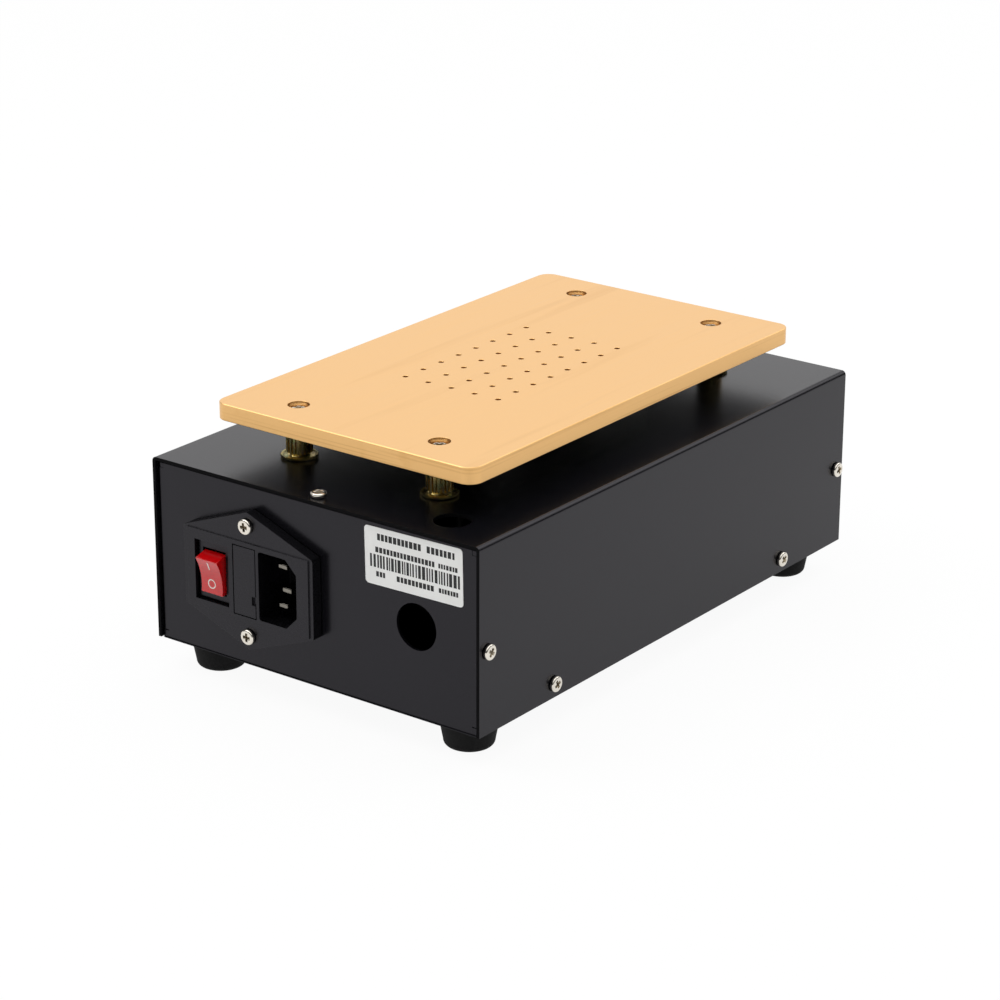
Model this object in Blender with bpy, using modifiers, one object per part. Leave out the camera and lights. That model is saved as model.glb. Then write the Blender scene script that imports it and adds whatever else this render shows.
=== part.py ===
"""Benchtop screen separator: a heated vacuum plate that stands on a sheet-metal case.

Metres, +Z up. The origin is on the bench under the middle of the machine. +Y is the rear, where the mains
inlet is, and -Y is the control end. What sits on an end panel is modelled in that panel's own frame: x to the
right as one faces the panel, y up from the bench, z out of the panel.
"""

import math

import bmesh
import bpy
from mathutils import Matrix, Vector

# Gaps between pieces
SEAT = 0.0003
RUNNING_GAP = 0.0003
LABEL_GAP = 0.00006
SINK = 0.0005  # how far a fused form reaches into the one that carries it

# Case: a folded cover over a folded tray
CASE_WIDTH = 0.139
CASE_LENGTH = 0.2208
CASE_HEIGHT = 0.066
SHEET = 0.0012
COVER_BEND = 0.0016
TRAY_BEND = 0.0024
END_RECESS = 0.0012
BOTTOM_FLANGE = 0.0095
END_SIDE_FLANGE = 0.010
END_TOP_FLANGE = 0.012
RELIEF = 0.0023
RELIEF_CUT = 0.0004
RELIEF_INSET = 0.0025
BOTTOM_FLANGE_SETBACK = 0.014

# Feet
FOOT_HEIGHT = 0.0113
FOOT_TOP_RADIUS = 0.0103
FOOT_BOTTOM_RADIUS = 0.0087
FOOT_EDGE_ROUND = 0.0022
FOOT_RECESS_RADIUS = 0.0048
FOOT_RECESS_DEPTH = 0.006
FOOT_SCREW_HOLE_RADIUS = 0.0021
FOOT_INSET_X = 0.0154
FOOT_INSET_Y = 0.0149

# Pan-head screws of the case, radii and lengths
SCREW_HEAD_RADIUS = 0.00275
SCREW_HEAD_HEIGHT = 0.0014
SCREW_RADIUS = 0.0014
SCREW_LENGTH = 0.006
SCREW_GAP = 0.0003
SIDE_SCREW_INSET = 0.0045
SIDE_SCREW_RISE = 0.0291
LOW_SCREW_INSET = 0.0407
LOW_SCREW_RISE = 0.0052
TOP_SCREW_INSET = 0.0046

# Holes left open in the case
TOP_HOLE_RADIUS = 0.0063
TOP_HOLE_SIDE_INSET = 0.0214
TOP_HOLE_END_INSET = 0.0139
REAR_HOLE_RADIUS = 0.0082
REAR_HOLE_INSET = 0.0264
REAR_HOLE_RISE = 0.0319

# Heating plate
PLATE_WIDTH = 0.110
PLATE_LENGTH = 0.190
PLATE_THICKNESS = 0.006
PLATE_CORNER = 0.005
PLATE_CHAMFER = 0.0004
HOLE_PITCH = 0.010
HOLE_ROWS = 5
HOLE_COLUMNS = 8
HOLE_RADIUS = 0.001
PLATE_SCREW_INSET_X = 0.025
PLATE_SCREW_INSET_Y = 0.015
COUNTERBORE_RADIUS = 0.004
COUNTERBORE_DEPTH = 0.0045

# Spacers and the screws through them
SPACER_HEIGHT = 0.0118
SPACER_RADIUS = 0.0046
SPACER_FLANGE_RADIUS = 0.0065
SPACER_FLANGE_HEIGHT = 0.0009
KNURL_TEETH = 20
KNURL_DEPTH = 0.00035
PLATE_SCREW_RADIUS = 0.002
PLATE_SCREW_HEAD_RADIUS = 0.0035
PLATE_SCREW_HEAD_HEIGHT = 0.003
CLINCH_NUT_RADIUS = 0.0042
CLINCH_NUT_HEIGHT = 0.003
PLATE_SCREW_END = 0.0015

# Vacuum pan, heater and what leads away from them
PAN_WIDTH = 0.056
PAN_LENGTH = 0.092
PAN_DEPTH = 0.006
PAN_WALL = 0.0015
PAN_CORNER = 0.004
NIPPLE_RADIUS = 0.0028
NIPPLE_BORE = 0.0014
NIPPLE_LENGTH = 0.008
HEATER_WIDTH = 0.096
HEATER_LENGTH = 0.124
HEATER_THICKNESS = 0.0015
HEATER_CORNER = 0.003
HEATER_CLEARANCE = 0.002
HOSE_RADIUS = 0.0046
HOSE_BEND = 0.012
HOSE_TOP_CLEARANCE = 0.001
GROMMET_RIM = 0.0014
GROMMET_LIP = 0.0014
GROMMET_WALL = 0.0024
HEATER_LEAD_RADIUS = 0.0014
PROBE_RADIUS = 0.002
PROBE_LENGTH = 0.012
PROBE_LEAD_RADIUS = 0.0009
LEAD_HOLE_RADIUS = 0.0036
LEAD_GROMMET_OFFSET = 0.017
LEAD_GROMMET_Y = 0.056
MAINS_LEAD_RADIUS = 0.0024
LEAD_RUN = 0.012
LEAD_SLACK = 0.012
LEAD_STEP = 0.006

# Rocker switches, all of one size
BEZEL_WIDTH = 0.0142
BEZEL_HEIGHT = 0.0209
BEZEL_THICKNESS = 0.0015
SWITCH_BODY_WIDTH = 0.0126
SWITCH_BODY_HEIGHT = 0.0182
SWITCH_BODY_DEPTH = 0.012
SWITCH_TAB_WIDTH = 0.0048
SWITCH_TAB_THICKNESS = 0.0008
SWITCH_TAB_LENGTH = 0.007
SWITCH_TAB_RISE = 0.0055
ROCKER_WIDTH = 0.0094
ROCKER_TIP_HALF = 0.0066
ROCKER_BASE_HALF = 0.00705
ROCKER_KEEL_HALF = 0.004
ROCKER_KEEL_DEPTH = 0.0022
ROCKER_PROUD = 0.00315
ROCKER_HOLLOW = 0.0011
ROCKER_TILT = math.radians(11.7)
PIVOT_DEPTH = 0.0022
TRUNNION_RADIUS = 0.001
TRUNNION_REACH = 0.0008

# Mains inlet on the rear panel
INLET_INSET = 0.0446
INLET_RISE = 0.0323
INLET_WIDTH = 0.0564
INLET_SIDE_HEIGHT = 0.0282
INLET_HEIGHT = 0.0494
INLET_FLANGE = 0.0041
INLET_RAISED = 0.0005
INLET_RAISED_WIDTH = 0.0532
INLET_CORNER = 0.001
INLET_BODY_WIDTH = 0.0474
INLET_BODY_HEIGHT = 0.027
INLET_BODY_DEPTH = 0.026
INLET_SCREW_INSET = 0.0049
SWITCH_OPENING_X = -0.0157
SWITCH_OPENING_Y = -0.0006
SWITCH_RECESS = 0.0015
DRAWER_X = -0.00125
DRAWER_Y = -0.0003
DRAWER_WIDTH = 0.0095
DRAWER_HEIGHT = 0.0246
DRAWER_FRONT = 0.002
DRAWER_DEPTH = 0.0126
DRAWER_CRADLE_INSET = 0.0005
SOCKET_X = 0.01325
SOCKET_Y = -0.0003
SOCKET_WIDTH = 0.0164
SOCKET_HEIGHT = 0.0246
SOCKET_CHAMFER = 0.0046
SOCKET_CORNER = 0.001
SOCKET_DEPTH = 0.016
PIN_WIDTH = 0.004
PIN_THICKNESS = 0.002
PIN_SPACING = 0.014
PIN_OFFSET = 0.0034
PIN_TIP_DEPTH = 0.0048
EARTH_PIN_LEAD = 0.002
PIN_TAIL = 0.007
FUSE_RADIUS = 0.0025
FUSE_LENGTH = 0.020
FUSE_CAP = 0.005
FUSE_WAIST = 0.0002

# Rating label on the rear panel
LABEL_WIDTH = 0.04
LABEL_HEIGHT = 0.02
LABEL_THICKNESS = 0.00015
LABEL_CORNER = 0.0013
LABEL_INSET = 0.0273
LABEL_RISE = 0.053
LABEL_TURN = math.radians(1.1)

# Temperature controller and switches on the front panel
CONTROL_RISE = 0.033
CONTROLLER_WIDTH = 0.072
CONTROLLER_HEIGHT = 0.0345
CONTROLLER_BEZEL = 0.003
CONTROLLER_CORNER = 0.002
CONTROLLER_LIP_SIDE = 0.0023
CONTROLLER_LIP_TOP = 0.003
CONTROLLER_BODY_DEPTH = 0.046
CLIP_LENGTH = 0.008
CLIP_PROUD = 0.0012
CLIP_HEIGHT = 0.010
WINDOW_INSET = 0.0055
WINDOW_BUTTON_GAP = 0.0095
WINDOW_HEIGHT = 0.018
WINDOW_THICKNESS = 0.0008
WINDOW_RECESS = 0.0004
BUTTON_INSET = 0.014
BUTTON_WIDTH = 0.0100
BUTTON_HEIGHT = 0.0052
BUTTON_PITCH = 0.0092
BUTTON_PROUD = 0.0010
BUTTON_THICKNESS = 0.0034
BUTTON_TRAVEL = 0.0007
BUTTON_CORNER = 0.0009

# Vacuum pump on the tray
PUMP_INSET = 0.0355
PUMP_HEAD_Y = -0.0157
PUMP_WIDTH = 0.031
PUMP_LENGTH = 0.024
CRANKCASE_HEIGHT = 0.0335
PUMP_AXIS_RISE = 0.0182
VALVE_HEAD_HEIGHT = 0.0115
MOTOR_RADIUS = 0.0138
MOTOR_LENGTH = 0.038
MOTOR_CAP_LENGTH = 0.004
MOTOR_CAP_STEP = 0.0015
MOTOR_BORE_DEPTH = 0.012
SHAFT_RADIUS = 0.00115
ECCENTRIC_RADIUS = 0.005
ECCENTRIC_OFFSET = 0.0015
ECCENTRIC_WIDTH = 0.006
CRANK_GAP = 0.0005
ROD_RING_WALL = 0.002
ROD_WIDTH = 0.005
CRANK_CHAMBER_RADIUS = 0.0107
CRANK_CHAMBER_DEPTH = 0.018
ROD_SLOT_RADIUS = 0.008
DIAPHRAGM_RADIUS = 0.0107
DIAPHRAGM_THICKNESS = 0.0012
PUMP_CORNER = 0.002

# Power board beside the pump
BOARD_INSET = 0.0325
BOARD_Y = 0.010
BOARD_WIDTH = 0.056
BOARD_LENGTH = 0.090
BOARD_THICKNESS = 0.0016
BOARD_HOLE_INSET = 0.004
BOARD_HOLE_RADIUS = 0.0016
PILLAR_RADIUS = 0.0026
PILLAR_HEIGHT = 0.006
TRANSFORMER_SIZE = (0.036, 0.030, 0.034)
TRANSFORMER_BOBBIN = (0.022, 0.036, 0.024)
TRANSFORMER_OFFSET = (-0.004, 0.013)
HEAT_SINK_SIZE = (0.036, 0.010, 0.028)
HEAT_SINK_FINS = 6
HEAT_SINK_FIN_GAP = 0.003
HEAT_SINK_OFFSET = (-0.006, -0.036)
RELAY_SIZE = (0.0155, 0.019, 0.015)
RELAY_OFFSET = (0.016, -0.028)
CAPACITOR_RADIUS = 0.0065
CAPACITOR_HEIGHT = 0.020
CAPACITOR_OFFSET = (-0.014, -0.016)
TERMINAL_SIZE = (0.026, 0.008, 0.011)
TERMINAL_OFFSET = (0.012, 0.039)

# Facets
FINE_STEPS = 28
HOLE_STEPS = 20
SCREW_STEPS = 14
SMALL_STEPS = 10
BEND_STEPS = 3

# Places worked out from the sizes above
PIVOT_TO_TIP = ROCKER_PROUD + PIVOT_DEPTH
ROCKER_REACH = (
    PIVOT_TO_TIP * math.cos(ROCKER_TILT) + ROCKER_TIP_HALF * math.sin(ROCKER_TILT) - PIVOT_DEPTH
)
REAR_PROUD = SEAT + INLET_FLANGE + INLET_RAISED - SWITCH_RECESS + ROCKER_REACH
FRONT_PROUD = max(SEAT + BEZEL_THICKNESS + ROCKER_REACH, SEAT + CONTROLLER_BEZEL + BUTTON_PROUD)
CASE_Y = (FRONT_PROUD - REAR_PROUD) / 2
REAR_Y = CASE_Y + CASE_LENGTH / 2 - END_RECESS
FRONT_Y = CASE_Y - CASE_LENGTH / 2 + END_RECESS
CASE_BOTTOM = FOOT_HEIGHT
CASE_TOP = CASE_BOTTOM + CASE_HEIGHT
TRAY_TOP = CASE_TOP - SHEET - SEAT
TRAY_FLOOR = CASE_BOTTOM + SHEET
TRAY_HALF_WIDTH = CASE_WIDTH / 2 - SHEET - SEAT
PLATE_BOTTOM = CASE_TOP + SEAT + SPACER_HEIGHT + SEAT
PLATE_TOP = PLATE_BOTTOM + PLATE_THICKNESS
PLATE_SCREW_REACH_X = PLATE_WIDTH / 2 - PLATE_SCREW_INSET_X
PLATE_SCREW_REACH_Y = PLATE_LENGTH / 2 - PLATE_SCREW_INSET_Y
PAN_TOP = PLATE_BOTTOM - SEAT
PAN_BOTTOM = PAN_TOP - PAN_DEPTH
SCREW_HOLE_RADIUS = SCREW_RADIUS + SCREW_GAP
PLATE_SCREW_HOLE_RADIUS = PLATE_SCREW_RADIUS + SCREW_GAP
TOP_HOLE_X = TOP_HOLE_SIDE_INSET - CASE_WIDTH / 2
REAR_HOLE_X = CASE_WIDTH / 2 - REAR_HOLE_INSET
INLET_X = INLET_INSET - CASE_WIDTH / 2
LABEL_X = CASE_WIDTH / 2 - LABEL_INSET
FRONT_GAP = (CASE_WIDTH - 2 * SCREW_LENGTH - CONTROLLER_WIDTH - 2 * BEZEL_WIDTH) / 4
CONTROLLER_X = SCREW_LENGTH + FRONT_GAP + CONTROLLER_WIDTH / 2 - CASE_WIDTH / 2
FRONT_SWITCH_PITCH = FRONT_GAP + BEZEL_WIDTH
FRONT_SWITCH_X = CONTROLLER_X + CONTROLLER_WIDTH / 2 + FRONT_GAP + BEZEL_WIDTH / 2
CONTROLLER_BODY_WIDTH = CONTROLLER_WIDTH - 2 * CONTROLLER_LIP_SIDE
BUTTONS_LEFT = CONTROLLER_WIDTH - BUTTON_INSET - BUTTON_WIDTH / 2
WINDOW_WIDTH = BUTTONS_LEFT - WINDOW_BUTTON_GAP - WINDOW_INSET
CONTROLLER_BODY_HEIGHT = CONTROLLER_HEIGHT - 2 * CONTROLLER_LIP_TOP
PUMP_X = CASE_WIDTH / 2 - PUMP_INSET
BOARD_X = BOARD_INSET - CASE_WIDTH / 2
LEAD_GROMMET_X = BOARD_X + LEAD_GROMMET_OFFSET
INLET_Y = CASE_BOTTOM + INLET_RISE
INLET_SCREW_REACH = INLET_HEIGHT / 2 - INLET_SCREW_INSET
CONTROL_Y = CASE_BOTTOM + CONTROL_RISE
PUMP_BOTTOM = TRAY_FLOOR + SEAT
PUMP_AXIS_Z = TRAY_FLOOR + PUMP_AXIS_RISE
CRANKCASE_TOP = PUMP_BOTTOM + CRANKCASE_HEIGHT
CRANKCASE_FRONT = PUMP_HEAD_Y - PUMP_LENGTH / 2
VALVE_HEAD_BOTTOM = CRANKCASE_TOP + SEAT
HOSE_Z = VALVE_HEAD_BOTTOM + VALVE_HEAD_HEIGHT / 2
VALVE_HEAD_SIDE = PUMP_X - PUMP_WIDTH / 2
HOSE_X = VALVE_HEAD_SIDE - NIPPLE_LENGTH - HOSE_BEND
HOSE_BORE = NIPPLE_RADIUS + SEAT
BOARD_BOTTOM = TRAY_FLOOR + PILLAR_HEIGHT + SEAT
BOARD_TOP = BOARD_BOTTOM + BOARD_THICKNESS
LEAD_Y = CASE_Y + LEAD_GROMMET_Y

# Frames of the two end panels
REAR_PANEL = Matrix(((-1, 0, 0, 0), (0, 0, 1, REAR_Y), (0, 1, 0, 0), (0, 0, 0, 1)))
FRONT_PANEL = Matrix(((1, 0, 0, 0), (0, 0, -1, FRONT_Y), (0, 1, 0, 0), (0, 0, 0, 1)))
WORLD = Matrix.Identity(4)

for old in list(bpy.data.objects):
    bpy.data.objects.remove(old, do_unlink=True)
PARTS = bpy.data.collections.new("screen_separator")
TOOLS = bpy.data.collections.new("cutters_and_joined_forms")
bpy.context.scene.collection.children.link(PARTS)
bpy.context.scene.collection.children.link(TOOLS)


def material(name, colour, roughness, metallic=0.0, alpha=1.0):
    """A Principled material; COLOUR is linear RGB."""
    made = bpy.data.materials.new(name)
    made.use_nodes = True
    shader = made.node_tree.nodes["Principled BSDF"]
    shader.inputs["Base Color"].default_value = (*colour, 1.0)
    shader.inputs["Roughness"].default_value = roughness
    shader.inputs["Metallic"].default_value = metallic
    shader.inputs["Alpha"].default_value = alpha
    made.diffuse_color = (*colour, alpha)
    return made


POWDER_COAT = material("black_powder_coat", (0.035, 0.035, 0.037), 0.45)
GOLD_ALUMINIUM = material("gold_anodised_aluminium", (0.85, 0.56, 0.25), 0.35, 0.9)
NICKEL = material("nickel_plate", (0.75, 0.72, 0.66), 0.2, 1.0)
YELLOW_ZINC = material("yellow_zinc", (0.45, 0.30, 0.10), 0.3, 1.0)
STEEL = material("bare_steel", (0.5, 0.5, 0.5), 0.35, 1.0)
RUBBER = material("black_rubber", (0.012, 0.012, 0.012), 0.7)
BLACK_PLASTIC = material("black_plastic", (0.02, 0.02, 0.021), 0.4)
RED_PLASTIC = material("red_plastic", (0.6, 0.02, 0.02), 0.25)
LABEL_WHITE = material("white_label", (0.85, 0.85, 0.85), 0.4)
WINDOW_RED = material("dark_red_window", (0.08, 0.004, 0.004), 0.1)
SILICONE = material("black_silicone", (0.02, 0.02, 0.021), 0.6)
CLEAR_HOSE = material("clear_hose", (0.7, 0.72, 0.7), 0.3)
GREEN_BOARD = material("green_board", (0.02, 0.16, 0.06), 0.5)
IRON_CORE = material("varnished_iron", (0.10, 0.09, 0.08), 0.5, 0.4)
WHITE_SLEEVE = material("white_glass_sleeve", (0.7, 0.68, 0.6), 0.8)
GLASS = material("clear_glass", (0.8, 0.85, 0.85), 0.05, 0.0, 0.4)
SMALL_BUTTON_GREY = material("grey_button", (0.25, 0.25, 0.26), 0.5)


def shift(x, y, z):
    return Matrix.Translation((x, y, z))


def tool(name, mesh, frame):
    """Add a form that a part is cut with or joined to. It becomes a part only through as_part."""
    made = bpy.data.objects.new(name, mesh)
    made.matrix_world = frame
    made.hide_render = True
    made.display_type = "WIRE"
    TOOLS.objects.link(made)
    return made


def tool_from_bmesh(name, bm, frame):
    mesh = bpy.data.meshes.new(name)
    bm.to_mesh(mesh)
    bm.free()
    return tool(name, mesh, frame)


def as_part(made, name, finish):
    """Make a form a sub-part: its own name, material and place in the parts collection."""
    TOOLS.objects.unlink(made)
    PARTS.objects.link(made)
    made.hide_render = False
    made.display_type = "TEXTURED"
    made.name = name
    made.data.name = name
    made.data.materials.clear()
    made.data.materials.append(finish)
    return made


def combine(made, other, operation):
    step = made.modifiers.new(other.name, "BOOLEAN")
    step.operation = operation
    step.object = other
    step.solver = "EXACT"
    return made


def cut(made, other):
    return combine(made, other, "DIFFERENCE")


def fuse(made, other):
    return combine(made, other, "UNION")


def runs_along(edge, axis):
    """True where EDGE is parallel to AXIS, 0 to 2."""
    step = edge.verts[1].co - edge.verts[0].co
    return abs(step[axis]) > 0.999 * step.length


def block(name, size, frame, rounding=0.0, axis=None, steps=2):
    """A box centred on FRAME. ROUNDING rounds every edge, or only those along AXIS."""
    bm = bmesh.new()
    bmesh.ops.create_cube(bm, size=1.0)
    bmesh.ops.scale(bm, vec=Vector(size), verts=bm.verts)
    if rounding:
        edges = [e for e in bm.edges if axis is None or runs_along(e, axis)]
        bmesh.ops.bevel(
            bm, geom=edges, offset=rounding, segments=steps, profile=0.5, affect="EDGES"
        )
    return tool_from_bmesh(name, bm, frame)


def span(name, low, high, frame, rounding=0.0, axis=None, steps=2):
    """A box between two opposite corners, given in FRAME."""
    size = [h - l for l, h in zip(low, high)]
    middle = [(l + h) / 2 for l, h in zip(low, high)]
    return block(name, size, frame @ shift(*middle), rounding, axis, steps)


def rods(name, radius, length, places, frame, steps=HOLE_STEPS):
    """Round rods along the frame's z, centred on PLACES, as one form."""
    bm = bmesh.new()
    for place in places:
        bmesh.ops.create_cone(
            bm,
            cap_ends=True,
            segments=steps,
            radius1=radius,
            radius2=radius,
            depth=length,
            matrix=shift(*place),
        )
    return tool_from_bmesh(name, bm, frame)


def turned(name, profile, frame, steps=FINE_STEPS, closed=False):
    """Turn PROFILE, (radius, height) pairs down the outer side, about the frame's z."""
    bm = bmesh.new()
    points = [bm.verts.new((radius, 0.0, height)) for radius, height in profile]
    for first, second in zip(points, points[1:]):
        bm.edges.new((first, second))
    if closed:
        bm.edges.new((points[-1], points[0]))
    made = tool_from_bmesh(name, bm, frame)
    screw = made.modifiers.new("turn", "SCREW")
    screw.angle = math.tau
    screw.steps = steps
    screw.render_steps = steps
    screw.screw_offset = 0.0
    screw.axis = "Z"
    screw.use_merge_vertices = True
    screw.merge_threshold = 0.00001
    screw.use_smooth_shade = True
    return made


def outlined(name, points, low, high, frame):
    """A flat outline in the frame's xy, solid from z = LOW to HIGH."""
    curve = bpy.data.curves.new(name, "CURVE")
    curve.dimensions = "2D"
    curve.fill_mode = "BOTH"
    curve.extrude = (high - low) / 2
    spline = curve.splines.new("POLY")
    spline.points.add(len(points) - 1)
    for corner, (x, y) in zip(spline.points, points):
        corner.co = (x, y, 0.0, 1.0)
    spline.use_cyclic_u = True
    drawn = bpy.data.objects.new(name, curve)
    TOOLS.objects.link(drawn)
    bpy.context.view_layer.update()
    seen = drawn.evaluated_get(bpy.context.evaluated_depsgraph_get())
    mesh = bpy.data.meshes.new_from_object(seen)
    bpy.data.objects.remove(drawn, do_unlink=True)
    bm = bmesh.new()
    bm.from_mesh(mesh)
    bmesh.ops.remove_doubles(bm, verts=bm.verts, dist=0.000001)
    bmesh.ops.recalc_face_normals(bm, faces=bm.faces)
    bm.to_mesh(mesh)
    bm.free()
    return tool(name, mesh, frame @ shift(0, 0, (low + high) / 2))


def rounded_corners(corners, radius, steps=4):
    """An outline with each convex corner replaced by an arc of RADIUS."""
    points = []
    count = len(corners)
    for i, corner in enumerate(corners):
        here = Vector(corner)
        before = (Vector(corners[i - 1]) - here).normalized()
        after = (Vector(corners[(i + 1) % count]) - here).normalized()
        half = before.angle(after) / 2
        centre = here + (before + after).normalized() * radius / math.sin(half)
        start = here + before * radius / math.tan(half) - centre
        end = here + after * radius / math.tan(half) - centre
        turn = start.angle_signed(end)
        for k in range(steps + 1):
            points.append(centre + Matrix.Rotation(-turn * k / steps, 2) @ start)
    return points


def folded_sheet(name, faces, radius):
    """Flat faces, as lists of corners, folded from one sheet.

    Edges that two faces share are bends: they are rounded by RADIUS, then the sheet gets its thickness inwards.
    """
    bm = bmesh.new()
    made = {}
    for face in faces:
        corners = []
        for corner in face:
            key = tuple(round(v, 7) for v in corner)
            if key not in made:
                made[key] = bm.verts.new(corner)
            corners.append(made[key])
        bm.faces.new(corners)
    bmesh.ops.recalc_face_normals(bm, faces=bm.faces)
    lowest = min(bm.faces, key=lambda f: f.calc_center_median().z)
    highest = max(bm.faces, key=lambda f: f.calc_center_median().z)
    outward = lowest.normal.z < -0.5 or highest.normal.z > 0.5
    if not outward:
        bmesh.ops.reverse_faces(bm, faces=bm.faces)
    bends = [e for e in bm.edges if len(e.link_faces) == 2]
    bmesh.ops.bevel(
        bm,
        geom=bends,
        offset=radius * math.tan(math.pi / 8) * 2,
        segments=BEND_STEPS,
        profile=0.5,
        affect="EDGES",
        clamp_overlap=False,
    )
    sheet = tool_from_bmesh(name, bm, WORLD)
    wall = sheet.modifiers.new("sheet", "SOLIDIFY")
    wall.thickness = SHEET
    wall.offset = -1.0
    wall.use_even_offset = True
    return sheet


def smooth_route(points, spacing):
    """Points along a Catmull-Rom curve through POINTS, about SPACING apart."""
    ends = [points[0] * 2 - points[1], *points, points[-1] * 2 - points[-2]]
    route = [points[0]]
    for before, start, end, after in zip(ends, ends[1:], ends[2:], ends[3:]):
        count = max(1, math.ceil((end - start).length / spacing))
        for k in range(1, count + 1):
            t = k / count
            route.append(
                0.5
                * (
                    2 * start
                    + (end - before) * t
                    + (2 * before - 5 * start + 4 * end - after) * t * t
                    + (3 * start - before - 3 * end + after) * t * t * t
                )
            )
    return route


def tube(name, route, radius, resolution=2):
    """A round cord along ROUTE, as a mesh so that it can be bored or joined."""
    curve = bpy.data.curves.new(name, "CURVE")
    curve.dimensions = "3D"
    curve.bevel_depth = radius
    curve.bevel_resolution = resolution
    curve.use_fill_caps = True
    spline = curve.splines.new("POLY")
    spline.points.add(len(route) - 1)
    for corner, place in zip(spline.points, route):
        corner.co = (*place, 1.0)
    drawn = bpy.data.objects.new(name, curve)
    TOOLS.objects.link(drawn)
    bpy.context.view_layer.update()
    seen = drawn.evaluated_get(bpy.context.evaluated_depsgraph_get())
    mesh = bpy.data.meshes.new_from_object(seen)
    bpy.data.objects.remove(drawn, do_unlink=True)
    bm = bmesh.new()
    bm.from_mesh(mesh)
    bmesh.ops.remove_doubles(bm, verts=bm.verts, dist=0.000001)
    bmesh.ops.recalc_face_normals(bm, faces=bm.faces)
    bm.to_mesh(mesh)
    bm.free()
    return tool(name, mesh, WORLD)


def pan_head_screw(name, head_radius, head_height, radius, length, frame, finish):
    """A pan-head screw whose head stands on z = 0 of FRAME and whose shank points down -z."""
    profile = [
        (0.0, head_height),
        (head_radius * 0.7, head_height * 0.85),
        (head_radius, head_height * 0.4),
        (head_radius, 0.0),
        (radius, 0.0),
        (radius, -length),
        (0.0, -length),
    ]
    return as_part(turned(name, profile, frame, SCREW_STEPS), name, finish)


def ends_and_sides():
    """The four corners of the case, as signs of x and y with a name."""
    for y, end in ((1, "rear"), (-1, "front")):
        for x, side in ((-1, "left"), (1, "right")):
            yield x, y, f"{end}_{side}"


def plate_screw_places():
    """Where the four plate screws stand, with a name."""
    for x, y, name in ends_and_sides():
        yield x * PLATE_SCREW_REACH_X, CASE_Y + y * PLATE_SCREW_REACH_Y, name


def case_screws():
    """Every screw that holds the cover: its name, and its frame with z out of the sheet."""
    outward = {
        -1: Matrix.Rotation(-math.pi / 2, 4, "Y"),
        1: Matrix.Rotation(math.pi / 2, 4, "Y"),
    }
    reach = CASE_WIDTH / 2 + SEAT
    for x, y, name in ends_and_sides():
        end = shift(
            x * reach, CASE_Y + y * (CASE_LENGTH / 2 - SIDE_SCREW_INSET), CASE_BOTTOM + SIDE_SCREW_RISE
        )
        low = shift(
            x * reach, CASE_Y + y * (CASE_LENGTH / 2 - LOW_SCREW_INSET), CASE_BOTTOM + LOW_SCREW_RISE
        )
        yield f"side_screw_{name}", end @ outward[x]
        yield f"low_screw_{name}", low @ outward[x]
    for y, name in ((1, "rear"), (-1, "front")):
        place = shift(0, CASE_Y + y * (CASE_LENGTH / 2 - TOP_SCREW_INSET), CASE_TOP + SEAT)
        yield f"top_screw_{name}", place


def screw_hole_rods(name, frames, radius, length):
    """Round forms through the sheets under screws, as one tool."""
    bm = bmesh.new()
    for frame in frames:
        bmesh.ops.create_cone(
            bm,
            cap_ends=True,
            segments=SCREW_STEPS,
            radius1=radius,
            radius2=radius,
            depth=length,
            matrix=frame,
        )
    return tool_from_bmesh(name, bm, WORLD)


def make_cover():
    """The cover: a top and two long sides folded from one sheet."""
    half, end = CASE_WIDTH / 2, CASE_LENGTH / 2
    y0, y1 = CASE_Y - end, CASE_Y + end
    faces = [
        [(-half, y0, CASE_BOTTOM), (-half, y0, CASE_TOP), (-half, y1, CASE_TOP), (-half, y1, CASE_BOTTOM)],
        [(-half, y0, CASE_TOP), (half, y0, CASE_TOP), (half, y1, CASE_TOP), (-half, y1, CASE_TOP)],
        [(half, y0, CASE_TOP), (half, y0, CASE_BOTTOM), (half, y1, CASE_BOTTOM), (half, y1, CASE_TOP)],
    ]
    cover = folded_sheet("cover_sheet", faces, COVER_BEND)
    as_part(cover, "top_cover", POWDER_COAT)
    nut_middle = CASE_TOP - SHEET - CLINCH_NUT_HEIGHT / 2 + SINK / 2
    nuts = [(x, y, nut_middle) for x, y, _ in plate_screw_places()]
    fuse(cover, rods("clinch_nuts", CLINCH_NUT_RADIUS, CLINCH_NUT_HEIGHT + SINK, nuts, WORLD, SMALL_STEPS))
    through = 4 * (SHEET + CLINCH_NUT_HEIGHT)
    holes = [(x, y, CASE_TOP) for x, y, _ in plate_screw_places()]
    cut(cover, rods("plate_screw_holes", PLATE_SCREW_HOLE_RADIUS, through, holes, WORLD, SCREW_STEPS))
    top_hole = (TOP_HOLE_X, CASE_Y + CASE_LENGTH / 2 - TOP_HOLE_END_INSET, CASE_TOP)
    cut(cover, rods("top_hole", TOP_HOLE_RADIUS, 4 * SHEET, [top_hole], WORLD, FINE_STEPS))
    hose_hole = (HOSE_X, PUMP_HEAD_Y, CASE_TOP)
    cut(cover, rods("hose_hole", grommet_neck(HOSE_BORE) + SEAT, 4 * SHEET, [hose_hole], WORLD))
    lead_hole = (LEAD_GROMMET_X, LEAD_Y, CASE_TOP)
    cut(cover, rods("lead_hole", grommet_neck(LEAD_HOLE_RADIUS) + SEAT, 4 * SHEET, [lead_hole], WORLD))
    frames = [frame for _, frame in case_screws()]
    cut(cover, screw_hole_rods("cover_screw_holes", frames, SCREW_HOLE_RADIUS, 4 * SHEET))


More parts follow.
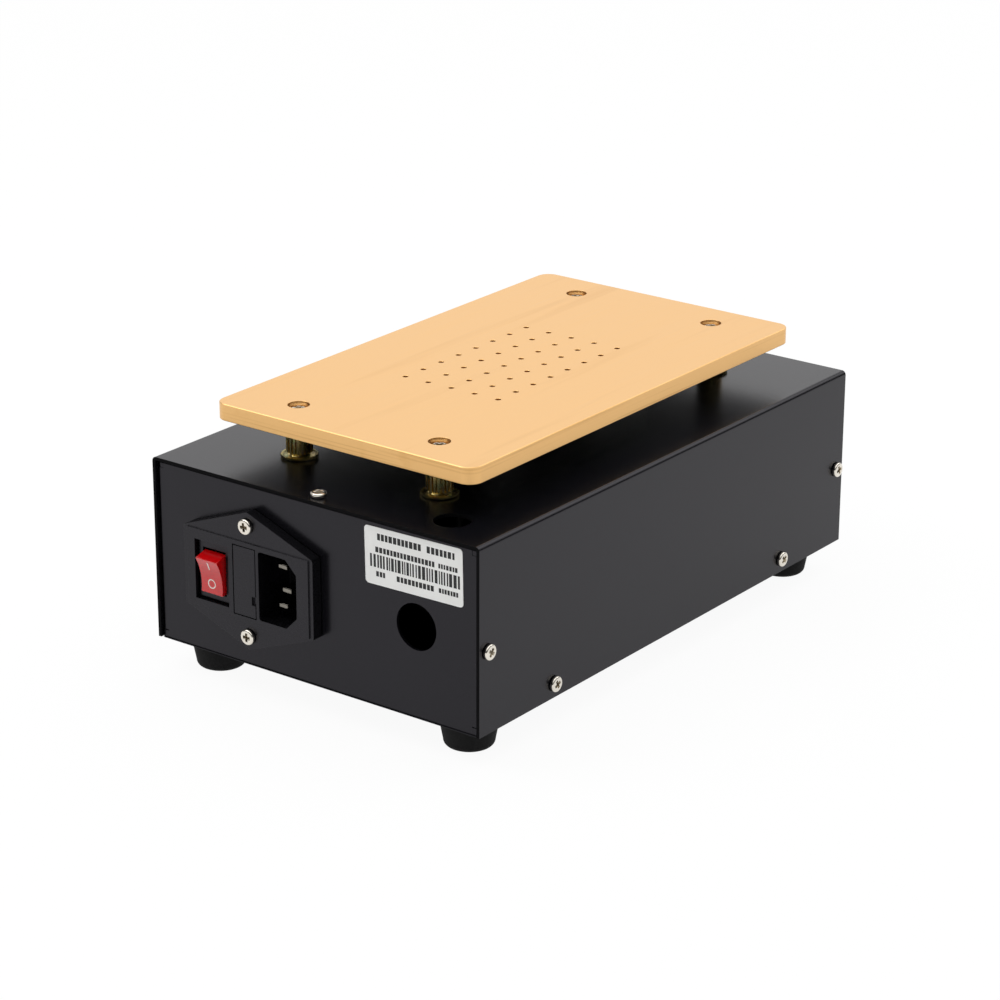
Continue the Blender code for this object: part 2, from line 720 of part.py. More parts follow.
def tray_faces():
    """The tray's flat faces: bottom, two end panels with their flanges, and two side flanges.

    Each panel's top corners are notched, so that three flanges fold without meeting.
    """
    half = TRAY_HALF_WIDTH
    bottom, top = CASE_BOTTOM, TRAY_TOP
    flange_end = CASE_LENGTH / 2 - BOTTOM_FLANGE_SETBACK
    inner = half - RELIEF
    y0, y1 = FRONT_Y, REAR_Y
    f0, f1 = CASE_Y - flange_end, CASE_Y + flange_end
    right = [(half, y0), (half, f0 - RELIEF), (inner, f0 - RELIEF), (inner, f0), (half, f0)]
    right += [(half, f1), (inner, f1), (inner, f1 + RELIEF), (half, f1 + RELIEF), (half, y1)]
    left = [(-x, y) for x, y in reversed(right)]
    faces = [[(x, y, bottom) for x, y in right + left]]
    for x in (-half, half):
        rim = bottom + BOTTOM_FLANGE
        faces.append([(x, f0, bottom), (x, f1, bottom), (x, f1, rim), (x, f0, rim)])
    low, high = bottom + RELIEF_INSET, top - RELIEF
    cut_top = low + RELIEF_CUT
    edge = [(half, bottom), (half, low), (inner, low), (inner, cut_top), (half, cut_top)]
    edge += [(half, high), (inner, high), (inner, top)]
    panel = edge + [(-x, z) for x, z in reversed(edge)]
    for y, inward in ((y0, 1), (y1, -1)):
        faces.append([(x, y, z) for x, z in panel])
        back = y + inward * END_TOP_FLANGE
        tip = inner - RELIEF
        faces.append([(-inner, y, top), (inner, y, top), (tip, back, top), (-tip, back, top)])
        back = y + inward * END_SIDE_FLANGE
        for x in (-half, half):
            faces.append([(x, y, cut_top), (x, y, high), (x, back, high - RELIEF), (x, back, cut_top + RELIEF)])
    return faces


def board_hole_places():
    for x in (-1, 1):
        for y in (-1, 1):
            yield (
                BOARD_X + x * (BOARD_WIDTH / 2 - BOARD_HOLE_INSET),
                CASE_Y + BOARD_Y + y * (BOARD_LENGTH / 2 - BOARD_HOLE_INSET),
            )


def foot_places():
    for x, y, name in ends_and_sides():
        yield (
            x * (CASE_WIDTH / 2 - FOOT_INSET_X),
            CASE_Y + y * (CASE_LENGTH / 2 - FOOT_INSET_Y),
            name,
        )


def make_tray():
    """The tray: bottom and both end panels folded from one sheet, with pressed-in board pillars."""
    tray = folded_sheet("tray_sheet", tray_faces(), TRAY_BEND)
    as_part(tray, "base_tray", POWDER_COAT)
    pillar_middle = TRAY_FLOOR + PILLAR_HEIGHT / 2 - SINK / 2
    pillars = [(x, y, pillar_middle) for x, y in board_hole_places()]
    fuse(tray, rods("pillars", PILLAR_RADIUS, PILLAR_HEIGHT + SINK, pillars, WORLD, SMALL_STEPS))
    feet = [(x, y, CASE_BOTTOM) for x, y, _ in foot_places()]
    cut(tray, rods("foot_holes", FOOT_SCREW_HOLE_RADIUS, 4 * SHEET, feet, WORLD, SCREW_STEPS))
    frames = [frame for _, frame in case_screws()]
    reach = 4 * (SHEET + SEAT + SHEET)
    cut(tray, screw_hole_rods("tray_screw_holes", frames, SCREW_HOLE_RADIUS, reach))
    notch = (TOP_HOLE_X, CASE_Y + CASE_LENGTH / 2 - TOP_HOLE_END_INSET, TRAY_TOP)
    cut(tray, rods("flange_notch", TOP_HOLE_RADIUS + SHEET, 4 * SHEET, [notch], WORLD, FINE_STEPS))
    rear_hole = (REAR_HOLE_X, CASE_BOTTOM + REAR_HOLE_RISE, 0)
    cut(tray, rods("rear_hole", REAR_HOLE_RADIUS, 4 * SHEET, [rear_hole], REAR_PANEL, FINE_STEPS))
    inlet = REAR_PANEL @ shift(INLET_X, INLET_Y, 0)
    body = (INLET_BODY_WIDTH + 2 * SEAT, INLET_BODY_HEIGHT + 2 * SEAT, 4 * SHEET)
    cut(tray, block("inlet_cutout", body, inlet))
    screws = [(0, y * INLET_SCREW_REACH, 0) for y in (-1, 1)]
    cut(tray, rods("inlet_screw_holes", SCREW_HOLE_RADIUS, 4 * SHEET, screws, inlet, SCREW_STEPS))
    controller = FRONT_PANEL @ shift(CONTROLLER_X, CONTROL_Y, 0)
    body = (CONTROLLER_BODY_WIDTH + 2 * SEAT, CONTROLLER_BODY_HEIGHT + 2 * SEAT, 4 * SHEET)
    cut(tray, block("controller_cutout", body, controller))
    for k in range(2):
        place = FRONT_PANEL @ shift(FRONT_SWITCH_X + k * FRONT_SWITCH_PITCH, CONTROL_Y, 0)
        body = (SWITCH_BODY_WIDTH + 2 * SEAT, SWITCH_BODY_HEIGHT + 2 * SEAT, 4 * SHEET)
        cut(tray, block(f"switch_cutout_{k}", body, place))


def make_feet():
    """Tapered rubber feet with a recess for the screw."""
    top = FOOT_HEIGHT - SEAT
    edge = FOOT_BOTTOM_RADIUS - FOOT_EDGE_ROUND
    profile = [(FOOT_SCREW_HOLE_RADIUS, top), (FOOT_TOP_RADIUS, top)]
    for k in range(4):
        turn = math.pi / 2 * k / 3
        profile.append(
            (edge + FOOT_EDGE_ROUND * math.cos(turn), FOOT_EDGE_ROUND * (1 - math.sin(turn)))
        )
    profile += [
        (FOOT_RECESS_RADIUS, 0.0),
        (FOOT_RECESS_RADIUS, FOOT_RECESS_DEPTH),
        (FOOT_SCREW_HOLE_RADIUS, FOOT_RECESS_DEPTH),
    ]
    for x, y, name in foot_places():
        foot = turned("foot_form", profile, shift(x, y, 0), HOLE_STEPS, closed=True)
        as_part(foot, f"foot_{name}", RUBBER)


def make_heating_plate():
    """The anodised plate with its vacuum holes and counterbored screw holes."""
    size = (PLATE_WIDTH, PLATE_LENGTH, PLATE_THICKNESS)
    frame = shift(0, CASE_Y, (PLATE_BOTTOM + PLATE_TOP) / 2)
    plate = block("plate_form", size, frame, PLATE_CORNER, axis=2, steps=6)
    edge = plate.modifiers.new("chamfer", "BEVEL")
    edge.width = PLATE_CHAMFER
    edge.segments = 1
    edge.limit_method = "ANGLE"
    edge.angle_limit = math.radians(60)
    as_part(plate, "heating_plate", GOLD_ALUMINIUM)
    places = []
    for row in range(HOLE_ROWS):
        for column in range(HOLE_COLUMNS):
            x = (row - (HOLE_ROWS - 1) / 2) * HOLE_PITCH
            y = (column - (HOLE_COLUMNS - 1) / 2) * HOLE_PITCH
            places.append((x, y, 0))
    through = 2 * PLATE_THICKNESS
    cut(plate, rods("vacuum_holes", HOLE_RADIUS, through, places, frame, SMALL_STEPS))
    screws = [(x, y - CASE_Y, 0) for x, y, _ in plate_screw_places()]
    cut(plate, rods("plate_holes", PLATE_SCREW_HOLE_RADIUS, through, screws, frame, SCREW_STEPS))
    mouths = [(x, y, PLATE_THICKNESS / 2) for x, y, _ in screws]
    cut(plate, rods("counterbores", COUNTERBORE_RADIUS, 2 * COUNTERBORE_DEPTH, mouths, frame))


def make_spacers_and_screws():
    """Knurled spacers, flange down on the cover, and the screw through each."""
    knurl = []
    for k in range(2 * KNURL_TEETH):
        radius = SPACER_RADIUS - (k % 2) * KNURL_DEPTH
        turn = math.pi * k / KNURL_TEETH
        knurl.append((radius * math.cos(turn), radius * math.sin(turn)))
    rim = SPACER_FLANGE_RADIUS
    flange = [
        (0.0, SPACER_FLANGE_HEIGHT),
        (rim - SPACER_FLANGE_HEIGHT / 2, SPACER_FLANGE_HEIGHT),
        (rim, SPACER_FLANGE_HEIGHT / 2),
        (rim, 0.0),
        (0.0, 0.0),
    ]
    head_seat = PLATE_TOP - COUNTERBORE_DEPTH + SEAT
    length = head_seat - (CASE_TOP - SHEET - CLINCH_NUT_HEIGHT - PLATE_SCREW_END)
    for x, y, name in plate_screw_places():
        frame = shift(x, y, CASE_TOP + SEAT)
        spacer = outlined("knurled_form", knurl, SPACER_FLANGE_HEIGHT / 2, SPACER_HEIGHT, frame)
        fuse(spacer, turned("spacer_flange", flange, frame))
        bore = rods("spacer_bore", PLATE_SCREW_HOLE_RADIUS, 4 * SPACER_HEIGHT, [(0, 0, 0)], frame, SCREW_STEPS)
        cut(spacer, bore)
        as_part(spacer, f"spacer_{name}", YELLOW_ZINC)
        pan_head_screw(
            f"plate_screw_{name}",
            PLATE_SCREW_HEAD_RADIUS,
            PLATE_SCREW_HEAD_HEIGHT,
            PLATE_SCREW_RADIUS,
            length,
            shift(x, y, head_seat),
            NICKEL,
        )


def make_case_screws():
    for name, frame in case_screws():
        pan_head_screw(
            name, SCREW_HEAD_RADIUS, SCREW_HEAD_HEIGHT, SCREW_RADIUS, SCREW_LENGTH, frame, NICKEL
        )


def make_vacuum_pan():
    """The shallow pan under the vacuum holes, with the nipple that the hose goes on."""
    middle = (PAN_TOP + PAN_BOTTOM) / 2
    frame = shift(0, CASE_Y, middle)
    pan = block("pan_form", (PAN_WIDTH, PAN_LENGTH, PAN_DEPTH), frame, PAN_CORNER, axis=2, steps=4)
    as_part(pan, "vacuum_pan", STEEL)
    inside = (PAN_WIDTH - 2 * PAN_WALL, PAN_LENGTH - 2 * PAN_WALL, PAN_DEPTH)
    hollow = frame @ shift(0, 0, PAN_WALL)
    cut(pan, block("pan_hollow", inside, hollow, PAN_CORNER - PAN_WALL, axis=2, steps=4))
    lower_end = CASE_TOP - SHEET - GROMMET_LIP - HOSE_TOP_CLEARANCE - NIPPLE_LENGTH
    height = PAN_BOTTOM + SINK - lower_end
    nipple = shift(HOSE_X, PUMP_HEAD_Y, lower_end + height / 2)
    fuse(pan, rods("pan_nipple", NIPPLE_RADIUS, height, [(0, 0, 0)], nipple))
    through = 2 * (height + PAN_DEPTH)
    cut(pan, rods("pan_bore", NIPPLE_BORE, through, [(0, 0, 0)], nipple, SMALL_STEPS))


def make_heater():
    """The flat heater stuck under the plate around the pan."""
    frame = shift(0, CASE_Y, PLATE_BOTTOM - SEAT - HEATER_THICKNESS / 2)
    size = (HEATER_WIDTH, HEATER_LENGTH, HEATER_THICKNESS)
    heater = block("heater_form", size, frame, HEATER_CORNER, axis=2, steps=3)
    as_part(heater, "heater_pad", SILICONE)
    inside = (PAN_WIDTH + 2 * HEATER_CLEARANCE, PAN_LENGTH + 2 * HEATER_CLEARANCE, 4 * HEATER_THICKNESS)
    cut(heater, block("heater_window", inside, frame, PAN_CORNER, axis=2, steps=3))


def grommet_neck(bore):
    """Outer radius of a grommet's neck, where it sits in the sheet."""
    return bore + GROMMET_WALL


def make_grommet(name, x, y, bore):
    """A rubber ring that grips the edge of a hole in the cover."""
    neck = grommet_neck(bore)
    rim = neck + GROMMET_RIM
    above, below = CASE_TOP + SEAT, CASE_TOP - SHEET - SEAT
    profile = [
        (bore, above + GROMMET_LIP),
        (rim - GROMMET_LIP / 2, above + GROMMET_LIP),
        (rim, above + GROMMET_LIP / 2),
        (rim, above),
        (neck, above),
        (neck, below),
        (rim, below),
        (rim, below - GROMMET_LIP / 2),
        (rim - GROMMET_LIP / 2, below - GROMMET_LIP),
        (bore, below - GROMMET_LIP),
    ]
    ring = turned("grommet_form", profile, shift(x, y, 0), HOLE_STEPS, closed=True)
    return as_part(ring, name, RUBBER)


def make_hose():
    """The hose from the pan's nipple down and round to the pump."""
    top = CASE_TOP - SHEET - GROMMET_LIP - HOSE_TOP_CLEARANCE
    route = [Vector((HOSE_X, PUMP_HEAD_Y, top))]
    for k in range(9):
        turn = math.pi / 2 * k / 8
        x = HOSE_X + HOSE_BEND * (1 - math.cos(turn))
        z = HOSE_Z + HOSE_BEND * (1 - math.sin(turn))
        route.append(Vector((x, PUMP_HEAD_Y, z)))
    route.append(Vector((VALVE_HEAD_SIDE - SEAT, PUMP_HEAD_Y, HOSE_Z)))
    hose = as_part(tube("hose_form", route, HOSE_RADIUS, 3), "vacuum_hose", CLEAR_HOSE)
    upper = shift(HOSE_X, PUMP_HEAD_Y, top)
    reach = 2 * (NIPPLE_LENGTH + SEAT)
    cut(hose, rods("hose_upper_bore", HOSE_BORE, reach, [(0, 0, 0)], upper, SMALL_STEPS))
    lower = shift(VALVE_HEAD_SIDE, PUMP_HEAD_Y, HOSE_Z) @ Matrix.Rotation(math.pi / 2, 4, "Y")
    cut(hose, rods("hose_lower_bore", HOSE_BORE, reach, [(0, 0, 0)], lower, SMALL_STEPS))


def make_rocker_switch(prefix, frame, body_finish, rocker_finish):
    """A snap-in rocker switch: z = 0 of FRAME is its bezel's front. Its lower end is pressed in."""
    size = (BEZEL_WIDTH, BEZEL_HEIGHT, BEZEL_THICKNESS)
    body = block("bezel_form", size, frame @ shift(0, 0, -BEZEL_THICKNESS / 2), SEAT, steps=1)
    as_part(body, f"{prefix}_switch_body", body_finish)
    deep = SWITCH_BODY_DEPTH + SINK
    size = (SWITCH_BODY_WIDTH, SWITCH_BODY_HEIGHT, deep)
    fuse(body, block("switch_box", size, frame @ shift(0, 0, -BEZEL_THICKNESS + SINK - deep / 2)))
    back = -BEZEL_THICKNESS - SWITCH_BODY_DEPTH
    long = SWITCH_TAB_LENGTH + SINK
    for y in (-1, 1):
        size = (SWITCH_TAB_WIDTH, SWITCH_TAB_THICKNESS, long)
        place = frame @ shift(0, y * SWITCH_TAB_RISE, back + SINK - long / 2)
        fuse(body, block("switch_tab", size, place))
    sweep = (
        ROCKER_TIP_HALF * math.cos(ROCKER_TILT) + PIVOT_TO_TIP * math.sin(ROCKER_TILT) + RUNNING_GAP
    )
    floor = ROCKER_KEEL_DEPTH + ROCKER_BASE_HALF * math.sin(ROCKER_TILT) + 2 * RUNNING_GAP
    size = (ROCKER_WIDTH + 2 * RUNNING_GAP, 2 * sweep, 2 * (PIVOT_DEPTH + floor))
    cut(body, block("rocker_window", size, frame))
    pivot = frame @ shift(0, 0, -PIVOT_DEPTH)
    across = pivot @ Matrix.Rotation(math.pi / 2, 4, "Y")
    reach = ROCKER_WIDTH + 2 * (TRUNNION_REACH + RUNNING_GAP)
    hole = TRUNNION_RADIUS + RUNNING_GAP
    cut(body, rods("trunnion_holes", hole, reach, [(0, 0, 0)], across, SMALL_STEPS))

    hollow_radius = (ROCKER_TIP_HALF**2 + ROCKER_HOLLOW**2) / (2 * ROCKER_HOLLOW)
    half_turn = math.asin(ROCKER_TIP_HALF / hollow_radius)
    side = [(-ROCKER_KEEL_HALF, -ROCKER_KEEL_DEPTH), (ROCKER_KEEL_HALF, -ROCKER_KEEL_DEPTH)]
    side.append((ROCKER_BASE_HALF, 0.0))
    for k in range(9):
        turn = half_turn * (1 - k / 4)
        rise = PIVOT_TO_TIP - ROCKER_HOLLOW + hollow_radius * (1 - math.cos(turn))
        side.append((hollow_radius * math.sin(turn), rise))
    side.append((-ROCKER_BASE_HALF, 0.0))
    tilted = pivot @ Matrix.Rotation(ROCKER_TILT, 4, "X")
    sideways = tilted @ Matrix(((0, 0, 1, 0), (1, 0, 0, 0), (0, 1, 0, 0), (0, 0, 0, 1)))
    rocker = outlined("rocker_form", side, -ROCKER_WIDTH / 2, ROCKER_WIDTH / 2, sideways)
    axle = tilted @ Matrix.Rotation(math.pi / 2, 4, "Y")
    reach = ROCKER_WIDTH + 2 * TRUNNION_REACH
    fuse(rocker, rods("trunnions", TRUNNION_RADIUS, reach, [(0, 0, 0)], axle, SMALL_STEPS))
    as_part(rocker, f"{prefix}_rocker", rocker_finish)


def socket_outline(x, y):
    """The connector cavity's outline about (x, y): two corners cut off on its right."""
    w, h, c = SOCKET_WIDTH / 2, SOCKET_HEIGHT / 2, SOCKET_CHAMFER
    corners = [
        (x - w, y - h),
        (x + w - c, y - h),
        (x + w, y - h + c),
        (x + w, y + h - c),
        (x + w - c, y + h),
        (x - w, y + h),
    ]
    return rounded_corners(corners, SOCKET_CORNER, 3)


def pin_places():
    """The three blades of the mains connector, with a name and how far each leads the others."""
    x = SOCKET_X - PIN_OFFSET / 2
    yield "live", x, SOCKET_Y + PIN_SPACING / 2, 0.0
    yield "earth", x + PIN_OFFSET, SOCKET_Y, EARTH_PIN_LEAD
    yield "neutral", x, SOCKET_Y - PIN_SPACING / 2, 0.0


def make_inlet():
    """The mains inlet: one moulding that holds the switch, the fuse drawer and the connector."""
    frame = REAR_PANEL @ shift(INLET_X, INLET_Y, SEAT)
    w, s, h = INLET_WIDTH / 2, INLET_SIDE_HEIGHT / 2, INLET_HEIGHT / 2
    corners = [(-w, -s), (0, -h), (w, -s), (w, s), (0, h), (-w, s)]
    outline = rounded_corners(corners, INLET_CORNER, 3)
    housing = outlined("flange_form", outline, 0, INLET_FLANGE, frame)
    as_part(housing, "inlet_housing", BLACK_PLASTIC)
    face = INLET_FLANGE + INLET_RAISED
    w, s = INLET_RAISED_WIDTH / 2, INLET_SIDE_HEIGHT / 2 - INLET_RAISED / 2
    fuse(housing, span("raised_field", (-w, -s, INLET_FLANGE - SINK), (w, s, face), frame))
    w, s = INLET_BODY_WIDTH / 2, INLET_BODY_HEIGHT / 2
    back = -INLET_BODY_DEPTH
    fuse(housing, span("inlet_body", (-w, -s, back), (w, s, SINK), frame))

    out = face + SINK
    w, h = BEZEL_WIDTH / 2 + SEAT, BEZEL_HEIGHT / 2 + SEAT
    shelf = face - SWITCH_RECESS - BEZEL_THICKNESS - SEAT
    at = frame @ shift(SWITCH_OPENING_X, SWITCH_OPENING_Y, 0)
    cut(housing, span("switch_opening", (-w, -h, shelf), (w, h, out), at))
    w, h = SWITCH_BODY_WIDTH / 2 + SEAT, SWITCH_BODY_HEIGHT / 2 + SEAT
    cut(housing, span("switch_well", (-w, -h, back - SINK), (w, h, out), at))
    w, h = DRAWER_WIDTH / 2 + RUNNING_GAP, DRAWER_HEIGHT / 2 + RUNNING_GAP
    at = frame @ shift(DRAWER_X, DRAWER_Y, 0)
    floor = face - DRAWER_DEPTH - RUNNING_GAP
    cut(housing, span("drawer_slot", (-w, -h, floor), (w, h, out), at))
    cavity = outlined("socket_cavity", socket_outline(SOCKET_X, SOCKET_Y), face - SOCKET_DEPTH, out, frame)
    cut(housing, cavity)
    for name, x, y, lead in pin_places():
        half = (PIN_WIDTH / 2 + SEAT, PIN_THICKNESS / 2 + SEAT)
        low = (x - half[0], y - half[1], back - SINK)
        high = (x + half[0], y + half[1], face - SOCKET_DEPTH + SINK)
        cut(housing, span(f"{name}_pin_slot", low, high, frame))
        low = (x - PIN_WIDTH / 2, y - PIN_THICKNESS / 2, back - PIN_TAIL)
        high = (x + PIN_WIDTH / 2, y + PIN_THICKNESS / 2, face - PIN_TIP_DEPTH + lead)
        pin = span(f"{name}_pin_form", low, high, frame, SEAT, steps=1)
        as_part(pin, f"inlet_pin_{name}", NICKEL)
    holes = [(0, y * INLET_SCREW_REACH, 0) for y in (-1, 1)]
    cut(housing, rods("ear_holes", SCREW_HOLE_RADIUS, 4 * INLET_FLANGE, holes, frame, SCREW_STEPS))
    for y, name in ((1, "top"), (-1, "bottom")):
        pan_head_screw(
            f"inlet_screw_{name}",
            SCREW_HEAD_RADIUS,
            SCREW_HEAD_HEIGHT,
            SCREW_RADIUS,
            SCREW_LENGTH + INLET_FLANGE,
            frame @ shift(0, y * INLET_SCREW_REACH, INLET_FLANGE + SEAT),
            NICKEL,
        )
    switch = frame @ shift(SWITCH_OPENING_X, SWITCH_OPENING_Y, face - SWITCH_RECESS)
    make_rocker_switch("mains", switch, BLACK_PLASTIC, RED_PLASTIC)
    make_fuse_drawer(frame @ shift(DRAWER_X, DRAWER_Y, face))


def make_fuse_drawer(frame):
    """The pull-out fuse drawer: z = 0 of FRAME is its front face."""
    w, h = DRAWER_WIDTH / 2, DRAWER_HEIGHT / 2
    drawer = span("drawer_front", (-w, -h, -DRAWER_FRONT), (w, h, 0), frame)
    as_part(drawer, "fuse_drawer", BLACK_PLASTIC)
    w, h = w - DRAWER_CRADLE_INSET, h - DRAWER_CRADLE_INSET
    cradle = span("drawer_cradle", (-w, -h, -DRAWER_DEPTH), (w, h, -DRAWER_FRONT + SINK), frame)
    fuse(drawer, cradle)
    w, h = FUSE_RADIUS + SEAT, FUSE_LENGTH / 2 + SEAT
    axis = -DRAWER_DEPTH + FUSE_RADIUS + 2 * SEAT
    slot = span("fuse_slot", (-w, -h, -DRAWER_DEPTH - SINK), (w, h, axis + w), frame)
    cut(drawer, slot)
    notch_w, notch_h = DRAWER_WIDTH / 6, DRAWER_HEIGHT / 16
    notch = block(
        "finger_notch",
        (2 * notch_w, 2 * notch_h, DRAWER_FRONT),
        frame @ shift(DRAWER_WIDTH / 2, -DRAWER_HEIGHT / 4, 0),
    )
    cut(drawer, notch)
    half = FUSE_LENGTH / 2
    glass = FUSE_RADIUS - FUSE_WAIST
    profile = [
        (0.0, half),
        (FUSE_RADIUS, half),
        (FUSE_RADIUS, half - FUSE_CAP),
        (glass, half - FUSE_CAP),
        (glass, FUSE_CAP - half),
        (FUSE_RADIUS, FUSE_CAP - half),
        (FUSE_RADIUS, -half),
        (0.0, -half),
    ]
    upright = frame @ shift(0, 0, axis) @ Matrix.Rotation(-math.pi / 2, 4, "X")
    as_part(turned("fuse_form", profile, upright, SCREW_STEPS), "fuse", GLASS)


def make_label():
    """The rating label, stuck on a little out of square."""
    frame = REAR_PANEL @ shift(LABEL_X, CASE_BOTTOM + LABEL_RISE, LABEL_GAP + LABEL_THICKNESS / 2)
    frame = frame @ Matrix.Rotation(LABEL_TURN, 4, "Z")
    size = (LABEL_WIDTH, LABEL_HEIGHT, LABEL_THICKNESS)
    label = block("label_form", size, frame, LABEL_CORNER, axis=2, steps=4)
    as_part(label, "rating_label", LABEL_WHITE)


def make_controller():
    """The temperature controller in the front panel, with its window and three sprung buttons."""
    frame = FRONT_PANEL @ shift(CONTROLLER_X, CONTROL_Y, SEAT)
    w, h = CONTROLLER_WIDTH / 2, CONTROLLER_HEIGHT / 2
    case = span(
        "controller_bezel", (-w, -h, 0), (w, h, CONTROLLER_BEZEL), frame, CONTROLLER_CORNER, axis=2, steps=3
    )
    as_part(case, "controller_case", BLACK_PLASTIC)
    w, h = CONTROLLER_BODY_WIDTH / 2, CONTROLLER_BODY_HEIGHT / 2
    back = -CONTROLLER_BODY_DEPTH
    fuse(case, span("controller_body", (-w, -h, back), (w, h, SINK), frame))
    behind = -2 * SEAT - SHEET
    for side in (-1, 1):
        x = sorted((side * (w - SINK), side * (w + CLIP_PROUD)))
        low = (x[0], -CLIP_HEIGHT / 2, behind - CLIP_LENGTH)
        high = (x[1], CLIP_HEIGHT / 2, behind)
        fuse(case, span("controller_clip", low, high, frame))
    w, h = WINDOW_WIDTH / 2 + SEAT, WINDOW_HEIGHT / 2 + SEAT
    at = frame @ shift(WINDOW_INSET + (WINDOW_WIDTH - CONTROLLER_WIDTH) / 2, 0, CONTROLLER_BEZEL)
    floor = -WINDOW_RECESS - WINDOW_THICKNESS - SEAT
    cut(case, span("window_recess", (-w, -h, floor), (w, h, SINK), at))
    w, h = WINDOW_WIDTH / 2, WINDOW_HEIGHT / 2
    glass = span("window_form", (-w, -h, floor + SEAT), (w, h, -WINDOW_RECESS), at)
    as_part(glass, "display_window", WINDOW_RED)
    for k, name in enumerate(("up", "set", "down")):
        x = CONTROLLER_WIDTH / 2 - BUTTON_INSET
        at = frame @ shift(x, (1 - k) * BUTTON_PITCH, CONTROLLER_BEZEL + BUTTON_PROUD)
        w, h = BUTTON_WIDTH / 2 + RUNNING_GAP, BUTTON_HEIGHT / 2 + RUNNING_GAP
        floor = -BUTTON_THICKNESS - BUTTON_TRAVEL - RUNNING_GAP
        cut(case, span(f"{name}_button_well", (-w, -h, floor), (w, h, SINK), at))
        w, h = BUTTON_WIDTH / 2, BUTTON_HEIGHT / 2
        cap = span(
            "button_form", (-w, -h, -BUTTON_THICKNESS), (w, h, 0), at, BUTTON_CORNER, axis=2, steps=3
        )
        as_part(cap, f"button_{name}", SMALL_BUTTON_GREY)


def make_front_switches():
    for k, prefix in enumerate(("heater", "pump")):
        place = (FRONT_SWITCH_X + k * FRONT_SWITCH_PITCH, CONTROL_Y, SEAT + BEZEL_THICKNESS)
        make_rocker_switch(prefix, FRONT_PANEL @ shift(*place), BLACK_PLASTIC, BLACK_PLASTIC)


